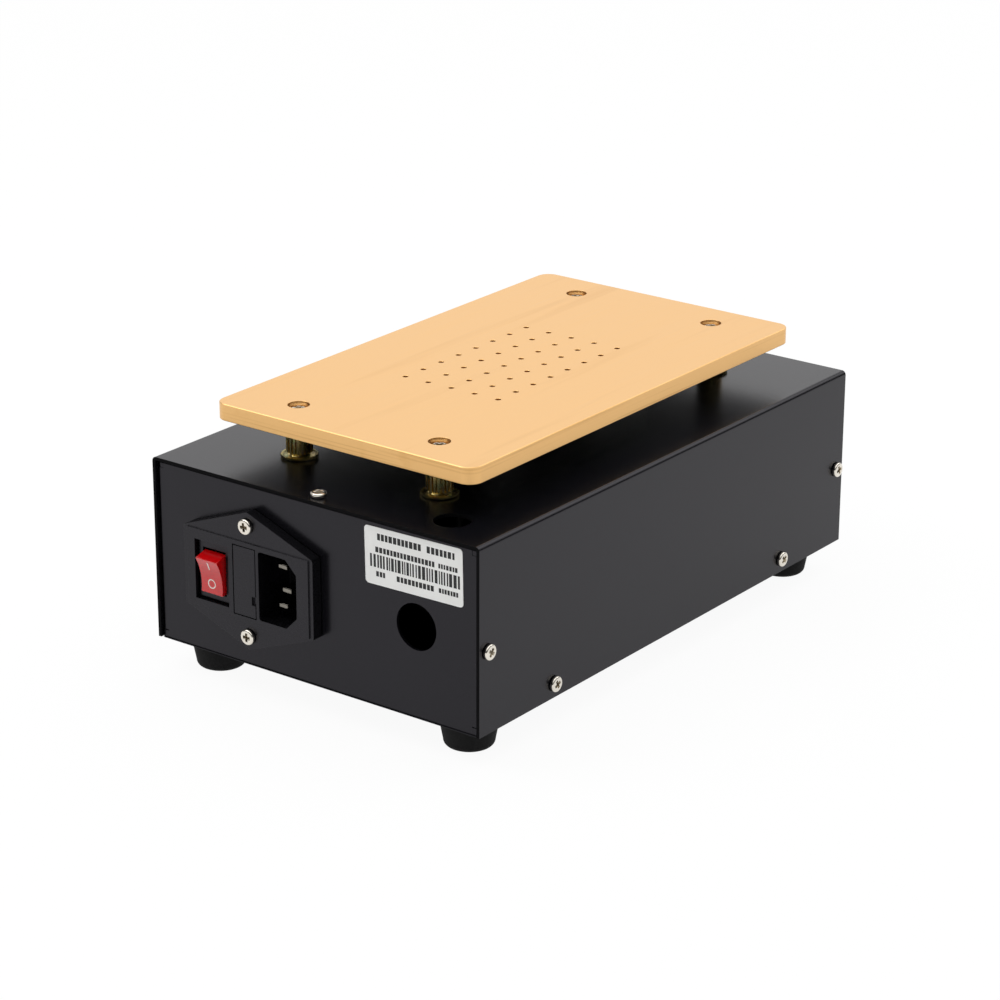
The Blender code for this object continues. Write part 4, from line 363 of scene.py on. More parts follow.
def rectangle(width, height, x=0.0, y=0.0):
    """A rectangular outline about (x, y)."""
    w, h = width / 2, height / 2
    return [(x - w, y - h), (x + w, y - h), (x + w, y + h), (x - w, y + h)]


def strip(width, height, x=0.0, y=0.0, parts=8):
    """A rectangle with extra points up its sides, so that it can lie on a curved face."""
    w, h = width / 2, height / 2
    right = [(x + w, y - h + 2 * h * k / parts) for k in range(parts + 1)]
    left = [(x - w, y + h - 2 * h * k / parts) for k in range(parts + 1)]
    return right + left


def rounded(corners, radius, steps=6):
    """An outline with each convex corner replaced by an arc of RADIUS."""
    points = []
    for i, corner in enumerate(corners):
        here = Vector(corner)
        before = (Vector(corners[i - 1]) - here).normalized()
        after = (Vector(corners[(i + 1) % len(corners)]) - here).normalized()
        half = before.angle(after) / 2
        middle = here + (before + after).normalized() * radius / math.sin(half)
        start = here + before * radius / math.tan(half) - middle
        end = here + after * radius / math.tan(half) - middle
        turn = start.angle_signed(end)
        for k in range(steps + 1):
            points.append(middle + Matrix.Rotation(-turn * k / steps, 2) @ start)
    return points


def prism(outline, low, high, place=Matrix()):
    """A closed form: OUTLINE in xy, solid from z = LOW to HIGH, set by PLACE."""
    bm = bmesh.new()
    floor = [bm.verts.new(place @ Vector((x, y, low))) for x, y in outline]
    roof = [bm.verts.new(place @ Vector((x, y, high))) for x, y in outline]
    bm.faces.new(floor[::-1])
    bm.faces.new(roof)
    for i, start in enumerate(floor):
        bm.faces.new((roof[i - 1], floor[i - 1], start, roof[i]))
    return bm


def lathed(profile, place=Matrix(), steps=48):
    """A closed form: PROFILE, (radius, height) pairs, turned about z. Ends off the axis are joined."""
    bm = bmesh.new()
    rings = []
    for radius, height in profile:
        if radius == 0:
            rings.append([bm.verts.new(place @ Vector((0, 0, height)))] * steps)
        else:
            rings.append([bm.verts.new(place @ Vector((x, y, height))) for x, y in ring(radius, steps)])
    pairs = list(zip(rings, rings[1:]))
    if profile[0][0] and profile[-1][0]:
        pairs.append((rings[-1], rings[0]))
    for upper, lower in pairs:
        for k in range(steps):
            corners = dict.fromkeys((upper[k - 1], upper[k], lower[k], lower[k - 1]))
            if len(corners) > 2:
                bm.faces.new(corners)
    return bm


def shape(name, *forms):
    """One object from closed FORMS, facing outwards."""
    whole = bmesh.new()
    for form in forms:
        mesh = bpy.data.meshes.new(name)
        form.to_mesh(mesh)
        form.free()
        whole.from_mesh(mesh)
        bpy.data.meshes.remove(mesh)
    bmesh.ops.recalc_face_normals(whole, faces=whole.faces)
    made = bpy.data.objects.new(name, bpy.data.meshes.new(name))
    whole.to_mesh(made.data)
    whole.free()
    bpy.context.scene.collection.objects.link(made)
    return made


def baked(made):
    """MADE with what its modifiers do kept as a plain mesh, and its place in that mesh."""
    bpy.context.view_layer.update()
    seen = made.evaluated_get(bpy.context.evaluated_depsgraph_get())
    mesh = bpy.data.meshes.new_from_object(seen)
    mesh.transform(made.matrix_world)
    mesh.name = made.name
    made.modifiers.clear()
    made.data = mesh
    made.matrix_world = Matrix.Identity(4)
    return made


def cut(made, *tools):
    """Take TOOLS away from MADE."""
    for tool in tools:
        step = made.modifiers.new(tool.name, "BOOLEAN")
        step.operation = "DIFFERENCE"
        step.object = tool
        step.solver = "EXACT"
    baked(made)
    for tool in tools:
        bpy.data.objects.remove(tool)
    return made


def bevel(made, width, segments, angle):
    """Put a bevel of WIDTH on MADE's edges that turn over ANGLE degrees."""
    edges = made.modifiers.new("bevelled edges", "BEVEL")
    edges.width = width
    edges.segments = segments
    edges.limit_method = "ANGLE"
    edges.angle_limit = math.radians(angle)


def eased(made, width=0.0, segments=2, angle=33):
    """Round MADE's edges that turn over ANGLE degrees by WIDTH, or keep them sharp, and smooth the rest."""
    made.data.shade_smooth()
    if width:
        bevel(made, width, segments, angle)
    else:
        made.data.set_sharp_from_angle(angle=math.radians(angle))
    normals = made.modifiers.new("flat faces stay flat", "WEIGHTED_NORMAL")
    normals.keep_sharp = True
    return baked(made)


def from_cad(node_name):
    """A copy of a CAD node's mesh with its corners merged and its flat faces whole again."""
    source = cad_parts[node_name].data
    mesh = bpy.data.meshes.new(node_name)
    mesh.from_pydata([v.co for v in source.vertices], [], [f.vertices[:] for f in source.polygons])
    bm = bmesh.new()
    bm.from_mesh(mesh)
    bpy.data.meshes.remove(mesh)
    bmesh.ops.remove_doubles(bm, verts=bm.verts, dist=0.002 * MM)
    bmesh.ops.dissolve_limit(bm, angle_limit=math.radians(0.6), verts=bm.verts, edges=bm.edges)
    return shape(f"{node_name}_shell", bm)


def tightened(made, old, new):
    """MADE, a folded sheet, with the outside of its bends drawn in from radius OLD to NEW."""
    points = [vert.co.copy() for vert in made.data.vertices]
    low = Vector(min(point[k] for point in points) for k in range(3))
    high = Vector(max(point[k] for point in points) for k in range(3))
    for vert, point in zip(made.data.vertices, points):
        gaps = [min(point[k] - low[k], high[k] - point[k]) for k in range(3)]
        for i, j in ((0, 1), (0, 2), (1, 2)):
            on_bend = abs(math.hypot(old - gaps[i], old - gaps[j]) - old) < 0.1 * MM
            if on_bend and max(gaps[i], gaps[j]) < old + 0.05 * MM:
                for k in (i, j):
                    outwards = -1 if point[k] - low[k] < high[k] - point[k] else 1
                    vert.co[k] += outwards * gaps[k] * (1 - new / old)
    return made


def fitted(made, name, material, slot, *nodes, body="machine"):
    """Name MADE, give it its finish, and let it ride on BODY in the place of the CAD NODES."""
    made.name = name
    made.data.name = name
    made.data.materials.clear()
    made.data.materials.append(material)
    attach(made, body)
    if nodes:
        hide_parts(*nodes)
    return made


def dressed(node_name, name, material, slot, width=0.0, segments=2, angle=40, body="machine"):
    """A copy of a CAD node with its edges eased by WIDTH, in its own finish and place."""
    made = eased(from_cad(node_name), width, segments, angle)
    return fitted(made, name, material, slot, node_name, body=body)


def second_finish(made, material, where):
    """Give MATERIAL to MADE's faces for which WHERE is true."""
    made.data.materials.append(material)
    for face in made.data.polygons:
        if where(face):
            face.material_index = len(made.data.materials) - 1


def tree_with(name, *inputs):
    """An empty Geometry Nodes tree with named INPUTS, a finish and an output, and its input sockets."""
    tree = bpy.data.node_groups.new(name, "GeometryNodeTree")
    for label, kind in (*inputs, ("Finish", "Material")):
        tree.interface.new_socket(label, in_out="INPUT", socket_type=f"NodeSocket{kind}")
    tree.interface.new_socket("Geometry", in_out="OUTPUT", socket_type="NodeSocketGeometry")
    return tree, node(tree, "NodeGroupInput").outputs


def end_tree(tree, given, geometry):
    """TREE with its GEOMETRY made real and painted as its last steps."""
    real = node(tree, "GeometryNodeRealizeInstances", {"Geometry": geometry})
    painted = node(tree, "GeometryNodeSetMaterial", {"Geometry": real, "Material": given["Finish"]})
    node(tree, "NodeGroupOutput", {"Geometry": painted})
    return tree


def turned_in_place(tree, rotation, angle):
    """ROTATION, then a turn by ANGLE about the piece's own z."""
    turn = node(tree, "FunctionNodeAxisAngleToRotation", {"Axis": (0, 0, 1), "Angle": angle})
    both = {"Rotation": rotation, "Rotate By": turn}
    return node(tree, "FunctionNodeRotateRotation", both, rotation_space="LOCAL")


def copies_tree():
    """Copies of a piece on points, each turned to its point's "facing", with a seeded turn about it."""
    tree, given = tree_with(
        "pieces_on_their_seats",
        ("Seats", "Geometry"), ("Piece", "Object"), ("Largest turn", "Float"), ("Seed", "Int"),
    )
    piece = node(tree, "GeometryNodeObjectInfo", {"Object": given["Piece"]}).outputs["Geometry"]
    facing = node(tree, "GeometryNodeInputNamedAttribute", {"Name": "facing"}, data_type="FLOAT_VECTOR")
    upright = node(tree, "FunctionNodeAlignRotationToVector", {"Vector": facing}, axis="Z")
    limits = {2: 0.0, 3: given["Largest turn"], "Seed": given["Seed"]}
    turn = node(tree, "FunctionNodeRandomValue", limits, data_type="FLOAT").outputs[1]
    placed = {"Points": given["Seats"], "Instance": piece, "Rotation": turned_in_place(tree, upright, turn)}
    return end_tree(tree, given, node(tree, "GeometryNodeInstanceOnPoints", placed))


def grid_tree():
    """Copies of a drill on a grid of rows and columns, PITCH apart."""
    tree, given = tree_with(
        "drill_pattern", ("Drill", "Object"), ("Rows", "Int"), ("Columns", "Int"), ("Pitch", "Float")
    )
    drill = node(tree, "GeometryNodeObjectInfo", {"Object": given["Drill"]}).outputs["Geometry"]
    sizes = {"Vertices X": given["Rows"], "Vertices Y": given["Columns"]}
    for side, count in (("Size X", "Rows"), ("Size Y", "Columns")):
        gaps = node(tree, "ShaderNodeMath", {0: given[count], 1: 1.0}, operation="SUBTRACT")
        sizes[side] = node(tree, "ShaderNodeMath", {0: gaps, 1: given["Pitch"]}, operation="MULTIPLY")
    grid = node(tree, "GeometryNodeMeshGrid", sizes)
    placed = {"Points": grid, "Instance": drill}
    return end_tree(tree, given, node(tree, "GeometryNodeInstanceOnPoints", placed))


def rib_tree():
    """A straight knurl: square ribs upright round a circle, each turned about its own length."""
    tree, given = tree_with(
        "straight_knurl",
        ("Ribs", "Int"), ("Radius", "Float"), ("Rib width", "Float"), ("Height", "Float"), ("Turn", "Float"),
    )
    circle = node(tree, "GeometryNodeMeshCircle", {"Vertices": given["Ribs"], "Radius": given["Radius"]})
    sides = {"X": given["Rib width"], "Y": given["Rib width"], "Z": given["Height"]}
    rib = node(tree, "GeometryNodeMeshCube", {"Size": node(tree, "ShaderNodeCombineXYZ", sides)})
    place = node(tree, "GeometryNodeInputPosition")
    outward = node(tree, "FunctionNodeAlignRotationToVector", {"Vector": place}, axis="X")
    placed = {"Points": circle, "Instance": rib, "Rotation": turned_in_place(tree, outward, given["Turn"])}
    return end_tree(tree, given, node(tree, "GeometryNodeInstanceOnPoints", placed))


COPIES, DRILL_GRID, KNURL = copies_tree(), grid_tree(), rib_tree()


def grown(name, tree, mesh=None, **settings):
    """An object that TREE makes from SETTINGS, as a plain mesh. An underscore there stands for a space."""
    made = bpy.data.objects.new(name, mesh or bpy.data.meshes.new(name))
    bpy.context.scene.collection.objects.link(made)
    modifier = made.modifiers.new(name, "NODES")
    modifier.node_group = tree
    for socket in tree.interface.items_tree:
        key = socket.name.replace(" ", "_")
        if socket.in_out == "INPUT" and key in settings:
            modifier[socket.identifier] = settings[key]
    return baked(made)


def set_on(name, piece, seats, material, turn=0.0, seed=0):
    """Copies of PIECE on SEATS, (place, facing) pairs, each turned by up to TURN; PIECE itself goes."""
    mesh = bpy.data.meshes.new(name)
    mesh.from_pydata([place for place, _ in seats], [], [])
    facing = mesh.attributes.new("facing", "FLOAT_VECTOR", "POINT")
    facing.data.foreach_set("vector", [value for _, way in seats for value in way])
    made = grown(name, COPIES, mesh, Piece=piece, Largest_turn=turn, Seed=seed, Finish=material)
    bpy.data.objects.remove(piece)
    return made


def fastened(name, piece, seats, material, slot, *nodes, turn=math.tau, seed=0):
    """Copies of PIECE on SEATS, each turned its own way, as one finished piece for the CAD NODES."""
    return fitted(set_on(name, piece, seats, material, turn, seed), name, material, slot, *nodes)


def pan_head(radius, height, shank, length, recess):
    """A pan-head screw on z = 0 with a cross recess RECESS across."""
    edge, crown = min(0.45 * height, 0.3 * radius), 0.97 * height
    profile = [
        (0.0, height), *arc(radius - edge, crown - edge, edge, 90, 0, 6), (radius, 0.0),
        (shank, 0.0), (shank, shank - length), (0.4 * shank, -length), (0.0, -length),
    ]
    screw = shape("pan_head_screw", lathed(profile, steps=32))
    arms = []
    for turn in (0, math.pi / 2):
        wing = prism(rectangle(recess, 0.33 * recess), -1.0, 1.0, Matrix.Rotation(turn, 4, "Z"))
        for vert in wing.verts:
            narrowed, level = (0.72, -0.5) if vert.co.z < 0 else (1.0, 1.1)
            vert.co = (vert.co.x * narrowed, vert.co.y * narrowed, height * level)
        arms.append(shape("recess_wing", wing))
    return eased(cut(screw, *arms), 0.06 * MM, 1)


def head_seats(names, head_height):
    """Where the head of each CAD screw in NAMES sits, and the way it faces."""
    for name in names:
        low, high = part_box(name)
        if name.startswith(("top", "plate")):
            way = UP
        elif name.startswith("inlet"):
            way = Vector((0, 1, 0))
        else:
            way = Vector((-1 if name.endswith("left") else 1, 0, 0))
        reach = abs(((high - low) / 2).dot(way)) - head_height
        yield (low + high) / 2 + way * reach, way


def centre(node_name):
    """The middle of a CAD node's box."""
    low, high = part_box(node_name)
    return (low + high) / 2


def at_corners(prefix, z):
    """The places at height Z on the axes of the four CAD nodes whose names start with PREFIX."""
    return [Vector((*centre(f"{prefix}_{corner}").xy, z)) for corner in CORNERS]


def make_cover():
    """The folded cover: smooth bends, painted round cut edges, and its clinch nuts."""
    low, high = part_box("top_cover")
    half, top = high.x, high.z

    def fold(inset):
        """The sheet's section from foot to foot, INSET from its outside."""
        middle, radius = half - COVER_BEND, COVER_BEND - inset
        left = arc(-middle, top - COVER_BEND, radius, 180, 90, 10)
        right = arc(middle, top - COVER_BEND, radius, 90, 0, 10)
        return [(inset - half, low.z), *left, *right, (half - inset, low.z)]

    outline = fold(0.0) + fold(SHEET)[::-1]
    upright = Matrix(((1, 0, 0, 0), (0, 0, -1, 0), (0, 1, 0, 0), (0, 0, 0, 1)))
    cover = shape("cover_sheet", prism(outline, -high.y, -low.y, upright))
    tools = []

    def drill(name, places, radius, way=UP):
        turn = way.to_track_quat("Z", "Y").to_matrix().to_4x4()
        rods = [
            prism(ring(radius), -4 * SHEET, 4 * SHEET, Matrix.Translation(place) @ turn) for place in places
        ]
        tools.append(shape(name, *rods))

    radius, x, inset = TOP_HOLE
    drill("open_hole", [(x, high.y - inset, top)], radius)
    for grommet in ("hose_grommet", "lead_grommet"):
        near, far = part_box(grommet)
        drill(grommet, [(*centre(grommet).xy, top)], (far.x - near.x) / 2 - 1.1 * MM)
    for group in ("side_screw", "low_screw", "top_screw"):
        names = [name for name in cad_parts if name.startswith(group)]
        for place, way in head_seats(names, CASE_HEAD[1]):
            drill("screw_hole", [place], CASE_SHANK[0] + 0.3 * MM, way)
    spots = at_corners("plate_screw", top)
    drill("plate_screw_holes", spots, PLATE_SCREW_HOLE)
    eased(cut(cover, *tools), PAINTED_EDGE, 4, 40)
    fitted(cover, "folded_cover", POWDER_COAT, "powder_coat", "top_cover")
    second_finish(cover, CUT_EDGE_COAT, lambda face: abs(face.normal.y) > 0.4 or face.normal.z < -0.4)

    profile = in_mm((2.0, 0.0), (3.3, 0.0), (4.2, -0.9), (4.2, -2.9), (2.0, -2.9))
    nut = eased(shape("clinch_nut", lathed(profile, steps=32)), 0.15 * MM)
    seats = [(spot - UP * SHEET, UP) for spot in spots]
    fastened("clinch_nuts", nut, seats, MOTOR_CAN, "powder_coat", turn=0.0)


def make_plate():
    """The heating plate: rounded corners, a bright chamfer, vacuum holes with broken edges, counterbores."""
    low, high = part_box("heating_plate")
    size, middle = high - low, (low + high) / 2
    outline = rounded(rectangle(size.x, size.y), PLATE_CORNER, 14)
    plate = shape("plate_blank", prism(outline, -size.z / 2, size.z / 2, Matrix.Translation(middle)))
    bevel(plate, PLATE_CHAMFER, 1, 60)
    baked(plate)
    deep = 2 * size.z

    def stepped_drill(name, radius, broken, steps, *tip):
        """A drill of RADIUS that also breaks the plate's edge by BROKEN, and ends in TIP."""
        above, mouth = 0.5 * MM, radius + broken + 0.5 * MM
        profile = [(0, deep), (mouth, deep), (mouth, above), (radius, -broken), *tip, (0, -deep)]
        return shape(name, lathed(profile, steps=steps))

    drill = stepped_drill("vacuum_drill", HOLE_RADIUS, 0.12 * MM, 24, (HOLE_RADIUS, -deep))
    holes = grown(
        "vacuum_drills", DRILL_GRID,
        Drill=drill, Rows=HOLE_ROWS, Columns=HOLE_COLUMNS, Pitch=HOLE_PITCH, Finish=GOLD,
    )
    bpy.data.objects.remove(drill)
    holes.data.transform(Matrix.Translation((middle.x, middle.y, high.z)))

    wide, narrow = COUNTERBORE_RADIUS, PLATE_SCREW_HOLE
    tip = ((wide, -COUNTERBORE_DEPTH), (narrow, -COUNTERBORE_DEPTH), (narrow, -deep))
    counterbore = stepped_drill("counterbore", wide, 0.08 * MM, 48, *tip)
    seats = [(place, UP) for place in at_corners("plate_screw", high.z)]
    cut(plate, holes, set_on("counterbores", counterbore, seats, GOLD))
    fitted(eased(plate, angle=25), "anodised_heating_plate", GOLD, "gold_anodised", "heating_plate")
    # The plate's underside takes the painted shade
    second_finish(plate, UNDERSIDE_PAINTED_SHADE, lambda face: face.normal.z < -0.9)


def make_spacers():
    """Knurled spacers with a serrated flange, on the cover under each plate screw."""
    low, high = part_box("spacer_rear_left")
    height = high.z - low.z
    rim, thick = SPACER_FLANGE
    core, bore, neck = SPACER_RADIUS - 0.75 * MM, 2.3 * MM, 0.7 * MM
    profile = [
        (bore, height), (core - 0.2 * MM, height), (core, height - 0.3 * MM), (core, thick + neck),
        (core - 0.3 * MM, thick + neck - 0.2 * MM), (core - 0.3 * MM, thick + 0.15 * MM), (core, 0.7 * thick),
        (rim - 0.8 * MM, 0.8 * thick), (rim - 0.6 * MM, thick - 0.1 * MM), (rim - 0.5 * MM, thick - 0.2 * MM),
        (rim - 0.5 * MM, 0.1 * MM), (rim - 0.6 * MM, 0.0), (bore, 0.0),
    ]
    body = eased(shape("spacer_core", lathed(profile)))
    ribs = grown(
        "spacer_ribs", KNURL, Ribs=SPACER_RIBS, Radius=SPACER_RADIUS - RIB_WIDTH / 2, Rib_width=RIB_WIDTH,
        Height=height - thick - neck - 0.5 * MM, Turn=0.0, Finish=ZINC,
    )
    ribs.data.transform(Matrix.Translation((0, 0, (height + thick + neck) / 2 - 0.15 * MM)))
    teeth = grown(
        "flange_teeth", KNURL, Ribs=FLANGE_TEETH, Radius=rim - TOOTH_WIDTH / math.sqrt(2),
        Rib_width=TOOTH_WIDTH, Height=thick - 0.2 * MM, Turn=math.pi / 4, Finish=ZINC,
    )
    teeth.data.transform(Matrix.Translation((0, 0, thick / 2)))
    forms = []
    for made in (body, ribs, teeth):
        forms.append(bmesh.new())
        forms[-1].from_mesh(made.data)
        bpy.data.objects.remove(made)
    spacer = eased(shape("knurled_spacer", *forms), angle=35)
    seats = [(place, UP) for place in at_corners("spacer", low.z)]
    names = [f"spacer_{corner}" for corner in CORNERS]
    fastened("knurled_spacers", spacer, seats, ZINC, "yellow_zinc", *names, seed=3)


def make_screws():
    """All pan-head screws, each turned its own way."""
    case = sorted(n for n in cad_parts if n.startswith(("side_screw", "low_screw", "top_screw")))
    plate = [f"plate_screw_{corner}" for corner in CORNERS]
    low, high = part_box(plate[0])
    plate_shank = (2.0 * MM, high.z - low.z - PLATE_HEAD[1])
    # Name, CAD screws, head, shank, the recess's share of the head, and seed
    for name, nodes, (radius, height), shank, recess, seed in (
        ("case_screws", case, CASE_HEAD, CASE_SHANK, 1.12, 11),
        ("inlet_screws", ["inlet_screw_top", "inlet_screw_bottom"], CASE_HEAD, CASE_SHANK, 1.12, 5),
        ("plate_screws", plate, PLATE_HEAD, plate_shank, 1.2, 8),
    ):
        screw = pan_head(radius, height, *shank, recess * radius)
        fastened(name, screw, list(head_seats(nodes, height)), NICKEL, "nickel", *nodes, seed=seed)


def make_feet():
    """Tapered rubber feet, and the washer and screw in the recess of each."""
    low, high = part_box("foot_rear_left")
    height = high.z - low.z
    top_radius, bottom_radius, edge = 10.3 * MM, 8.7 * MM, 2.2 * MM
    recess, deep, bore, washer_height = 4.8 * MM, 6.0 * MM, 2.1 * MM, 0.7 * MM
    profile = [
        (bore, height), (top_radius - 0.4 * MM, height), (top_radius, height - 0.4 * MM),
        *arc(bottom_radius - edge, edge, edge, 0, -90, 8),
        (recess + 0.3 * MM, 0.0), (recess, 0.3 * MM), (recess, deep), (bore, deep),
    ]
    foot = eased(shape("rubber_foot", lathed(profile, steps=56)), angle=50)
    beds = at_corners("foot", low.z)
    names = [f"foot_{corner}" for corner in CORNERS]
    fastened("rubber_feet", foot, [(bed, UP) for bed in beds], RUBBER, "foot_rubber", *names, seed=2)

    washer = shape("foot_washer", lathed(in_mm((1.8, 0.7), (4.3, 0.7), (4.3, 0.0), (1.8, 0.0))))
    seats = [(bed + UP * deep, DOWN) for bed in beds]
    fastened("foot_washers", eased(washer, 0.12 * MM), seats, NICKEL, "nickel", turn=0.0)
    screw = pan_head(3.2 * MM, 2.2 * MM, 1.6 * MM, 8.0 * MM, 3.8 * MM)
    seats = [(bed + UP * (deep - washer_height), DOWN) for bed in beds]
    fastened("foot_screws", screw, seats, NICKEL, "nickel", seed=4)


def panel(node_name, end):
    """The frame of the panel at an END, on the outermost face of a CAD node."""
    low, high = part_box(node_name)
    middle = (low + high) / 2
    face = high.y if end == REAR_END else low.y
    return Matrix(((-end, 0, 0, middle.x), (0, 0, end, face), (0, 1, 0, middle.z), (0, 0, 0, 1)))


def laid_on(node_name, place, outlines, name, thickness=0.06 * MM, proud=0.03 * MM):
    """Flat marks, given as outlines in PLACE, laid on the CAD node's surface as one thin piece."""
    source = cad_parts[node_name].data
    skin = BVHTree.FromPolygons([v.co for v in source.vertices], [f.vertices[:] for f in source.polygons])
    inward = -(place.to_3x3() @ UP)
    forms = []
    for outer, inner in outlines:
        bm = bmesh.new()
        edge = [bm.verts.new((*point, 0)) for point in outer]
        if inner:
            hole = [bm.verts.new((*point, 0)) for point in inner]
            for k in range(len(edge)):
                bm.faces.new((edge[k - 1], edge[k], hole[k], hole[k - 1]))
        else:
            bm.faces.new(edge)
        sheet = bmesh.ops.extrude_face_region(bm, geom=list(bm.faces))
        raised = [v for v in sheet["geom"] if isinstance(v, bmesh.types.BMVert)]
        for vert in bm.verts:
            start = place @ (vert.co + UP * 5 * MM)
            hit = skin.ray_cast(start, inward)[0]
            vert.co = (hit or place @ vert.co) - inward * (proud if vert in raised else proud - thickness)
        forms.append(bm)
    return shape(name, *forms)


def switch_marks(prefix, end, width):
    """The plain signs for on and off: a bar above, a ring below."""
    low_at, high_at = -3.65 * MM, 3.2 * MM
    marks = [(ring(1.72 * MM, y=low_at), ring(1.34 * MM, y=low_at)), (strip(width, 2.9 * MM, y=high_at), None)]
    rocker, slot = f"{prefix}_rocker", "red_rocker" if prefix == "mains" else "black_rocker"
    made = eased(laid_on(rocker, panel(rocker, end), marks, f"{rocker}_marks"))
    fitted(made, f"{rocker}_marks", WHITE_INK, slot, body=rocker)


def make_tray():
    """The folded tray with its filled corner seams."""
    tray = tightened(from_cad("base_tray"), *TRAY_BENDS)
    fitted(eased(tray, 0.2 * MM, 2, 40), "folded_tray", POWDER_COAT, "powder_coat", "base_tray")
    low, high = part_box("base_tray")
    inset, side = 0.05 * MM, 2.7 * MM
    corners = []
    for x in (low.x, high.x):
        for y in (low.y, high.y):
            for z, upward in ((low.z, 1), (high.z, -1)):
                inward = Vector((-math.copysign(1, x), -math.copysign(1, y), upward))
                outer = Vector((x, y, z)) + inward * inset
                inner = outer + inward * side
                corners.append(bmesh.new())
                bmesh.ops.create_cube(corners[-1], size=1.0)
                for vert in corners[-1].verts:
                    vert.co = Vector(inner[k] if vert.co[k] < 0 else outer[k] for k in range(3))
    seams = eased(shape("corner_seams", *corners), TRAY_BENDS[1], 4)
    fitted(seams, "corner_seams", POWDER_COAT, "powder_coat")


def make_inlet():
    """The mains inlet's mouldings, its pins and the rocker's signs."""
    dressed("inlet_housing", "inlet_moulding", INLET_NYLON, "inlet_plastic", 0.22 * MM)
    dressed("mains_switch_body", "mains_switch_frame", INLET_NYLON, "inlet_plastic", 0.2 * MM)
    dressed("mains_rocker", "mains_rocker_lens", RED_LENS, "red_rocker", 0.35 * MM, 3, body="mains_rocker")
    switch_marks("mains", REAR_END, 0.42 * MM)
    drawer = "fuse_drawer"
    dressed(drawer, "fuse_drawer_moulding", INLET_NYLON, "inlet_plastic", 0.2 * MM, body=drawer)
    # The pins' darker plate is painted shade from their socket
    for pin in ("live", "earth", "neutral"):
        dressed(f"inlet_pin_{pin}", f"pin_blade_{pin}", SHADED_PIN_PLATE, "nickel", 0.6 * MM, 3)


def make_fuse():
    """The glass fuse in the drawer: its tube, its two caps and its wire."""
    low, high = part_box("fuse")
    along = Matrix.Translation((low + high) / 2)
    radius, half = (high.x - low.x) / 2, (high.z - low.z) / 2
    cap_edge, cap_bed, wire_end = half - 5.0 * MM, half - 0.5 * MM, half - 0.6 * MM
    outer, inner, wall, thin = radius - 0.25 * MM, radius - 0.9 * MM, 0.2 * MM, 0.12 * MM

    def piece(name, material, *forms, nodes=()):
        fitted(eased(shape(name, *forms)), name, material, "fuse_glass", *nodes, body="fuse_drawer")

    tube = lathed([(outer, cap_bed), (outer, -cap_bed), (inner, -cap_bed), (inner, cap_bed)], along)
    piece("fuse_tube", FUSE_GLASS, tube, nodes=("fuse",))
    cap = (
        (0, half), (radius - 0.3 * MM, half), (radius, half - 0.3 * MM), (radius, cap_edge),
        (radius - wall, cap_edge), (radius - wall, cap_bed), (0, cap_bed),
    )
    piece("fuse_caps", NICKEL, *(lathed([(x, side * z) for x, z in cap], along) for side in (1, -1)))
    wire = lathed([(0, wire_end), (thin, wire_end), (thin, -wire_end), (0, -wire_end)], along, 10)
    piece("fuse_wire", TINNED_WIRE, wire)


def make_label():
    """The label: a rounded film with bars and plain rows of blocks where print would be."""
    dressed("rating_label", "label_film", LABEL_FILM, "label_film", angle=33)
    place = panel("rating_label", REAR_END) @ Matrix.Rotation(math.radians(1.1), 4, "Z")
    chance = random.Random(4)
    marks = []
    # Height up the label, height of the blocks, start and end, widths of the blocks and of the gaps, in mm
    for y, height, x, end, widths, gaps in (
        (6.8, 2.3, -14.7, 3.4, (1.1, 1.5), (0.35, 0.4)),
        (6.8, 2.3, 5.6, 16.8, (1.0, 1.4), (0.4, 0.5)),
        (2.3, 1.9, -15.6, 8.6, (0.9, 1.3), (0.3, 0.4)),
        (2.3, 1.6, 10.2, 18.0, (0.7, 1.0), (0.25, 0.35)),
        (-1.7, 4.5, -17.9, 18.8, (0.45, 1.3), (0.35, 0.65)),
        (-6.1, 1.8, -15.5, -11.8, (0.9, 1.2), (0.3, 0.35)),
        (-6.1, 1.9, -7.0, 8.2, (0.9, 1.3), (0.3, 0.4)),
        (-6.1, 1.6, 10.2, 18.0, (0.7, 1.0), (0.25, 0.35)),
    ):
        while x < end:
            wide = min(chance.uniform(*widths), end - x)
            marks.append((rectangle(wide * MM, height * MM, (x + wide / 2) * MM, y * MM), None))
            x += wide + chance.uniform(*gaps)
    blocks = eased(laid_on("rating_label", place, marks, "label_print", 0.02 * MM, 0.01 * MM))
    fitted(blocks, "label_print", BLACK_INK, "label_film")


def digit(x, y, width, height, stroke):
    """The seven bars of one display digit, as outlines."""
    half, rise, s, gap = width / 2, height / 2, stroke / 2, 0.12 * MM

    def bar(a, b, level):
        """A bar with pointed ends, lying from A to B."""
        across = (level, level - s, level - s, level, level + s, level + s)
        return list(zip((a, a + s, b - s, b, b - s, a + s), across))

    bars = [bar(x - half + gap, x + half - gap, y + level * rise) for level in (-1, 0, 1)]
    for side in (-1, 1):
        for level in (-1, 1):
            a, b = sorted((y + gap * level, y + level * (rise - gap)))
            bars.append([(across, along) for along, across in bar(a, b, x + side * half)])
    return bars


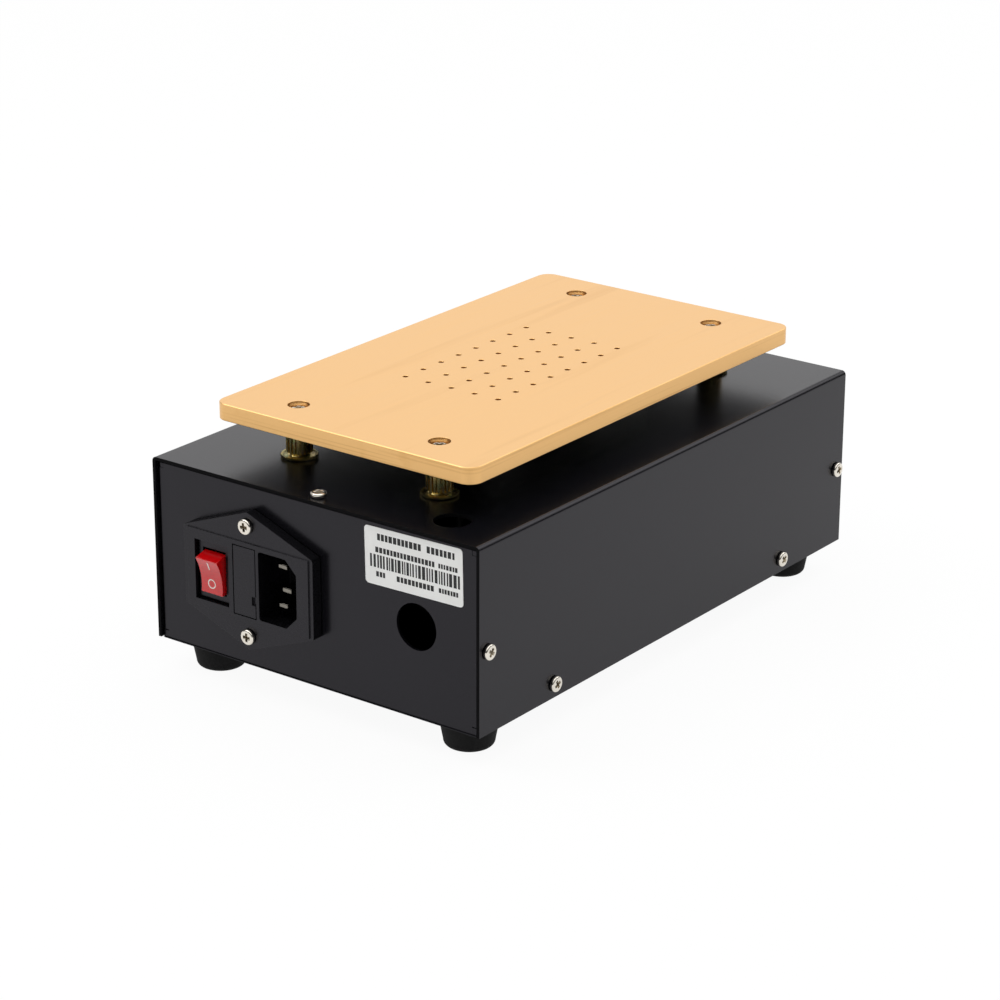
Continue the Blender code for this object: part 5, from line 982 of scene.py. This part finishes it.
def make_controller():
    """The controller with its window, its unlit digits and its keys."""
    dressed("controller_case", "controller_shell", CONTROLLER_ABS, "controller_plastic", 0.35 * MM, 3)
    dressed("display_window", "window_pane", SMOKED_WINDOW, "window", 0.12 * MM)
    low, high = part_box("display_window")
    behind = panel("display_window", CONTROL_END)
    behind[1][3] = high.y
    film, bed, back, pitch = -0.05 * MM, -0.12 * MM, -0.26 * MM, 10.4 * MM
    outline = rectangle(high.x - low.x - 0.6 * MM, high.z - low.z - 0.6 * MM)
    backing = eased(shape("display_backing", prism(outline, back, bed, behind)))
    fitted(backing, "display_backing", DARK_BACKING, "window")
    outlines = []
    for x in (-pitch, 0.0, pitch):
        outlines += digit(x, 0.0, 5.6 * MM, 10.6 * MM, 1.25 * MM)
        outlines.append(ring(0.65 * MM, 20, x + 4.6 * MM, -5.3 * MM))
    bars = [prism(outline, bed, film, behind) for outline in outlines]
    fitted(eased(shape("display_digits", *bars)), "display_digits", UNLIT_SEGMENT, "window")

    arrow = in_mm((-1.1, -0.6), (1.1, -0.6), (0.0, 0.85))
    signs = {"up": arrow, "set": ring(0.8 * MM, 24), "down": [(x, -y) for x, y in arrow]}
    for key, sign in signs.items():
        button = f"button_{key}"
        dressed(button, f"key_{key}", KEY_ABS, "button_plastic", 0.3 * MM, 3, body=button)
        mark = eased(laid_on(button, panel(button, CONTROL_END), [(sign, None)], f"key_mark_{key}"))
        fitted(mark, f"key_mark_{key}", WHITE_INK, "button_plastic", body=button)


def make_front_switches():
    """The heater's and the pump's switches with their signs."""
    for prefix in ("heater", "pump"):
        rocker = f"{prefix}_rocker"
        dressed(f"{prefix}_switch_body", f"{prefix}_switch_frame", INLET_NYLON, "switch_plastic", 0.25 * MM)
        dressed(rocker, f"{rocker}_lens", BLACK_LENS, "black_rocker", 0.35 * MM, 3, body=rocker)
        switch_marks(prefix, CONTROL_END, 0.55 * MM)


def make_grommets():
    """The rubber grommets in the cover, each a ring with a groove round it."""
    lip, wall, curve, ease = 1.4 * MM, 2.4 * MM, 0.7 * MM, 0.3 * MM
    for name in ("hose_grommet", "lead_grommet"):
        low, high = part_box(name)
        rim, half = (high.x - low.x) / 2, (high.z - low.z) / 2
        neck, bore = rim - lip, rim - lip - wall
        profile = [
            (bore + ease, half), *arc(rim - curve, half - curve, curve, 90, 0, 4),
            (rim, half - lip), (neck, half - lip), (neck, lip - half), (rim, lip - half),
            *arc(rim - curve, curve - half, curve, 0, -90, 4), (bore + ease, -half),
            (bore, ease - half), (bore, half - ease),
        ]
        made = eased(shape(name, lathed(profile, Matrix.Translation(centre(name)))), angle=50)
        fitted(made, f"{name}_ring", RUBBER, "grommet_rubber", name)


def make_insides():
    """Hose and leads, pan and heater, and the pump with its valve head's screws."""
    # CAD node, piece, finish, slot, and how far the edges are eased
    for node_name, name, material, slot, width in (
        ("vacuum_hose", "vacuum_hose_skin", CLEAR_HOSE, "hose", 0.0),
        # The heater lead's sleeve is drawn in painted shade
        ("heater_lead", "heater_lead_skin", SHADED_GLASS_SLEEVE, "lead_sleeve", 0.0),
        ("temperature_probe", "temperature_probe_skin", STEEL_BRAID, "probe_steel", 0.0),
        ("mains_lead", "mains_lead_skin", BLACK_PVC, "mains_sheath", 0.0),
        ("vacuum_pan", "pressed_pan", PAN_STEEL, "pan_steel", 0.3 * MM),
        # The heater mat is drawn black as painted shade under the plate
        ("heater_pad", "heater_mat", SHADED_SILICONE, "silicone", 0.25 * MM),
        ("pump_crankcase", "pump_crankcase_shell", PUMP_NYLON, "pump_plastic", 0.4 * MM),
        ("pump_valve_head", "pump_valve_head_shell", PUMP_NYLON, "pump_plastic", 0.4 * MM),
        ("pump_rod", "pump_rod_shell", PALE_ACETAL, "rod_plastic", 0.15 * MM),
        ("pump_motor", "pump_motor_shell", MOTOR_CAN, "motor_steel", 0.2 * MM),
    ):
        dressed(node_name, name, material, slot, width, angle=50)
    dressed("pump_shaft", "pump_shaft_steel", BRIGHT_STEEL, "motor_steel", 0.1 * MM, 1, 50, body="pump_shaft")
    low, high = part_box("pump_valve_head")
    seats = [
        (Vector((x, y, high.z)), UP)
        for x in (low.x + 11.5 * MM, high.x - 3.5 * MM)
        for y in (low.y + 3.5 * MM, high.y - 3.5 * MM)
    ]
    screw = pan_head(2.4 * MM, 1.5 * MM, 1.1 * MM, 6.0 * MM, 2.8 * MM)
    fastened("valve_head_screws", screw, seats, NICKEL, "motor_steel", seed=6)


def make_power_board():
    """The board with each soldered part in its own finish, and the transformer with its taped winding."""
    board = dressed("power_board", "power_board_and_parts", SOLDER_MASK, "board")
    low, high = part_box("power_board")
    middle, top = (low + high) / 2, low.z + 1.6 * MM
    # Middle from the board's middle, and size, in mm
    terminals = ((12.0, 39.0), (26.0, 8.0))
    for material, (at, size) in (
        (PLAIN_ALUMINIUM, ((-6.0, -36.0), (36.0, 10.0))),
        (BLUE_POLYESTER, ((16.0, -28.0), (15.5, 19.0))),
        (GREEN_TERMINAL, terminals),
        (BLACK_SLEEVE, ((-14.0, -16.0), (13.0, 13.0))),
    ):

        def of_part(face):
            aside = (face.center.xy - middle.xy) / MM - Vector(at)
            inside = abs(aside.x) < size[0] / 2 + 0.1 and abs(aside.y) < size[1] / 2 + 0.1
            return inside and face.center.z > top + 0.05 * MM

        second_finish(board, material, of_part)
    (x, y), (wide, _) = terminals
    row = [middle.x + (x + wide * (k - 2) / 5) * MM for k in range(5)]
    seats = [(Vector((at, middle.y + y * MM, top + 11.0 * MM)), UP) for at in row]
    screw = pan_head(1.7 * MM, 0.5 * MM, 1.0 * MM, 3.0 * MM, 2.2 * MM)
    fastened("terminal_screws", screw, seats, NICKEL, "board", seed=9)

    core = dressed("transformer", "transformer_core", IRON_CORE, "iron_core", 0.25 * MM, 1)
    middle = centre("transformer")
    second_finish(core, YELLOW_TAPE, lambda face: abs(face.center.y - middle.y) > 15.1 * MM)


make_cover()
make_plate()
make_spacers()
make_screws()
make_feet()
make_tray()
make_inlet()
make_fuse()
make_label()
make_controller()
make_front_switches()
make_grommets()
make_insides()
make_power_board()


def make_floor():
    """A white floor, white to the camera and in reflections too, that keeps a shadow."""
    mesh = bpy.data.meshes.new("studio_floor")
    mesh.from_pydata([(*corner, 0) for corner in rectangle(FLOOR_SIDE, FLOOR_SIDE)], [], [(0, 1, 2, 3)])
    floor = bpy.data.objects.new("studio_floor", mesh)
    bpy.context.scene.collection.objects.link(floor)
    paper = bpy.data.materials.new("white_studio_paper")
    paper.use_nodes = True
    tree = paper.node_tree
    tree.nodes.clear()
    rays = node(tree, "ShaderNodeLightPath").outputs
    straight = node(tree, "ShaderNodeMath", {0: rays["Is Camera Ray"], 1: FLOOR_WHITE}, operation="MULTIPLY")
    turned = {0: rays["Is Glossy Ray"], 1: rays["Is Transmission Ray"]}
    mirrored = node(tree, "ShaderNodeMath", turned, operation="ADD")
    mirrored = node(tree, "ShaderNodeMath", {0: mirrored, 1: FLOOR_MIRRORED}, operation="MULTIPLY")
    share = node(tree, "ShaderNodeMath", {0: straight, 1: mirrored}, operation="ADD", use_clamp=True)
    matt = node(tree, "ShaderNodeBsdfDiffuse", {"Color": linear("#fafafa")})
    white = node(tree, "ShaderNodeEmission", {"Color": linear("#ffffff"), "Strength": 1.0})
    mixed = node(tree, "ShaderNodeMixShader", {0: share, 1: matt, 2: white})
    node(tree, "ShaderNodeOutputMaterial", {"Surface": mixed})
    mesh.materials.append(paper)


def make_world():
    """A white room to the camera; in reflections its backdrop and ceiling are white and the rest is dark.

    As in a real studio, edges and round heads mirror the dark room behind the camera.
    """
    world = bpy.data.worlds.new("white_studio")
    bpy.context.scene.world = world
    world.use_nodes = True
    tree = world.node_tree
    tree.nodes.clear()
    rays = node(tree, "ShaderNodeLightPath").outputs
    way = node(tree, "ShaderNodeTexCoord").outputs["Generated"]
    ahead = node(tree, "ShaderNodeVectorMath", {0: way, 1: BACKDROP_WAY}, operation="DOT_PRODUCT")
    height = node(tree, "ShaderNodeSeparateXYZ", {0: way}).outputs["Z"]
    span = {0: ahead.outputs["Value"], "From Min": 0.45, "From Max": 0.75}
    backdrop = node(tree, "ShaderNodeMapRange", span)
    ceiling = node(tree, "ShaderNodeMapRange", {0: height, "From Min": 0.42, "From Max": 0.68})
    bright = node(tree, "ShaderNodeMath", {0: backdrop, 1: ceiling}, operation="MAXIMUM")
    room = node(tree, "ShaderNodeMapRange", {0: bright, "To Min": ROOM_DARK})
    mirrored = node(tree, "ShaderNodeMath", {0: rays["Is Glossy Ray"], 1: room}, operation="MULTIPLY")
    unturned = {0: rays["Is Camera Ray"], 1: rays["Is Transmission Ray"]}
    straight = node(tree, "ShaderNodeMath", unturned, operation="ADD")
    seen = node(tree, "ShaderNodeMath", {0: mirrored, 1: straight}, operation="ADD", use_clamp=True)
    sky = node(tree, "ShaderNodeMath", {0: room, 1: SKY_LEVEL}, operation="MULTIPLY")
    lit = node(tree, "ShaderNodeMath", {0: rays["Is Diffuse Ray"], 1: sky}, operation="MULTIPLY")
    level = node(tree, "ShaderNodeMath", {0: seen, 1: lit}, operation="ADD")
    glow = node(tree, "ShaderNodeBackground", {"Color": linear("#ffffff"), "Strength": level})
    node(tree, "ShaderNodeOutputWorld", {"Surface": glow})


def add_lamp(name, place, aim, size, power):
    """A soft square lamp at PLACE that faces AIM."""
    data = bpy.data.lights.new(name, "AREA")
    data.size = size
    data.energy = power
    lamp = bpy.data.objects.new(name, data)
    lamp.location = place
    lamp.rotation_euler = (Vector(aim) - Vector(place)).to_track_quat("-Z", "Y").to_euler()
    bpy.context.scene.collection.objects.link(lamp)


def make_camera():
    """The photograph's camera."""
    data = bpy.data.cameras.new("camera")
    data.lens = CAMERA_LENS
    data.sensor_width = SENSOR_WIDTH
    data.clip_end = 50.0
    camera = bpy.data.objects.new("camera", data)
    camera.rotation_mode = "QUATERNION"
    camera.location = CAMERA_PLACE
    aim = (CAMERA_AIM - CAMERA_PLACE).to_track_quat("-Z", "Y")
    camera.rotation_quaternion = aim @ Matrix.Rotation(-CAMERA_ROLL, 3, "Z").to_quaternion()
    bpy.context.scene.collection.objects.link(camera)
    bpy.context.scene.camera = camera


make_floor()
make_world()
add_lamp("overhead_softbox", (0.1, 0.1, 1.3), (0, 0, 0.05), 1.4, 5.0)
add_lamp("left_softbox", (0.9, 0.75, 1.2), (0, 0, 0.05), 0.9, 4.9)
add_lamp("right_softbox", (-0.6, -1.1, 0.95), (-0.2, -0.3, 0.0), 0.9, 3.2)
add_lamp("backdrop_softbox", (0.95, -1.27, 0.8), (0, 0, 0.08), 0.9, 0.35)
make_camera()
bpy.context.scene.view_settings.view_transform = "Standard"
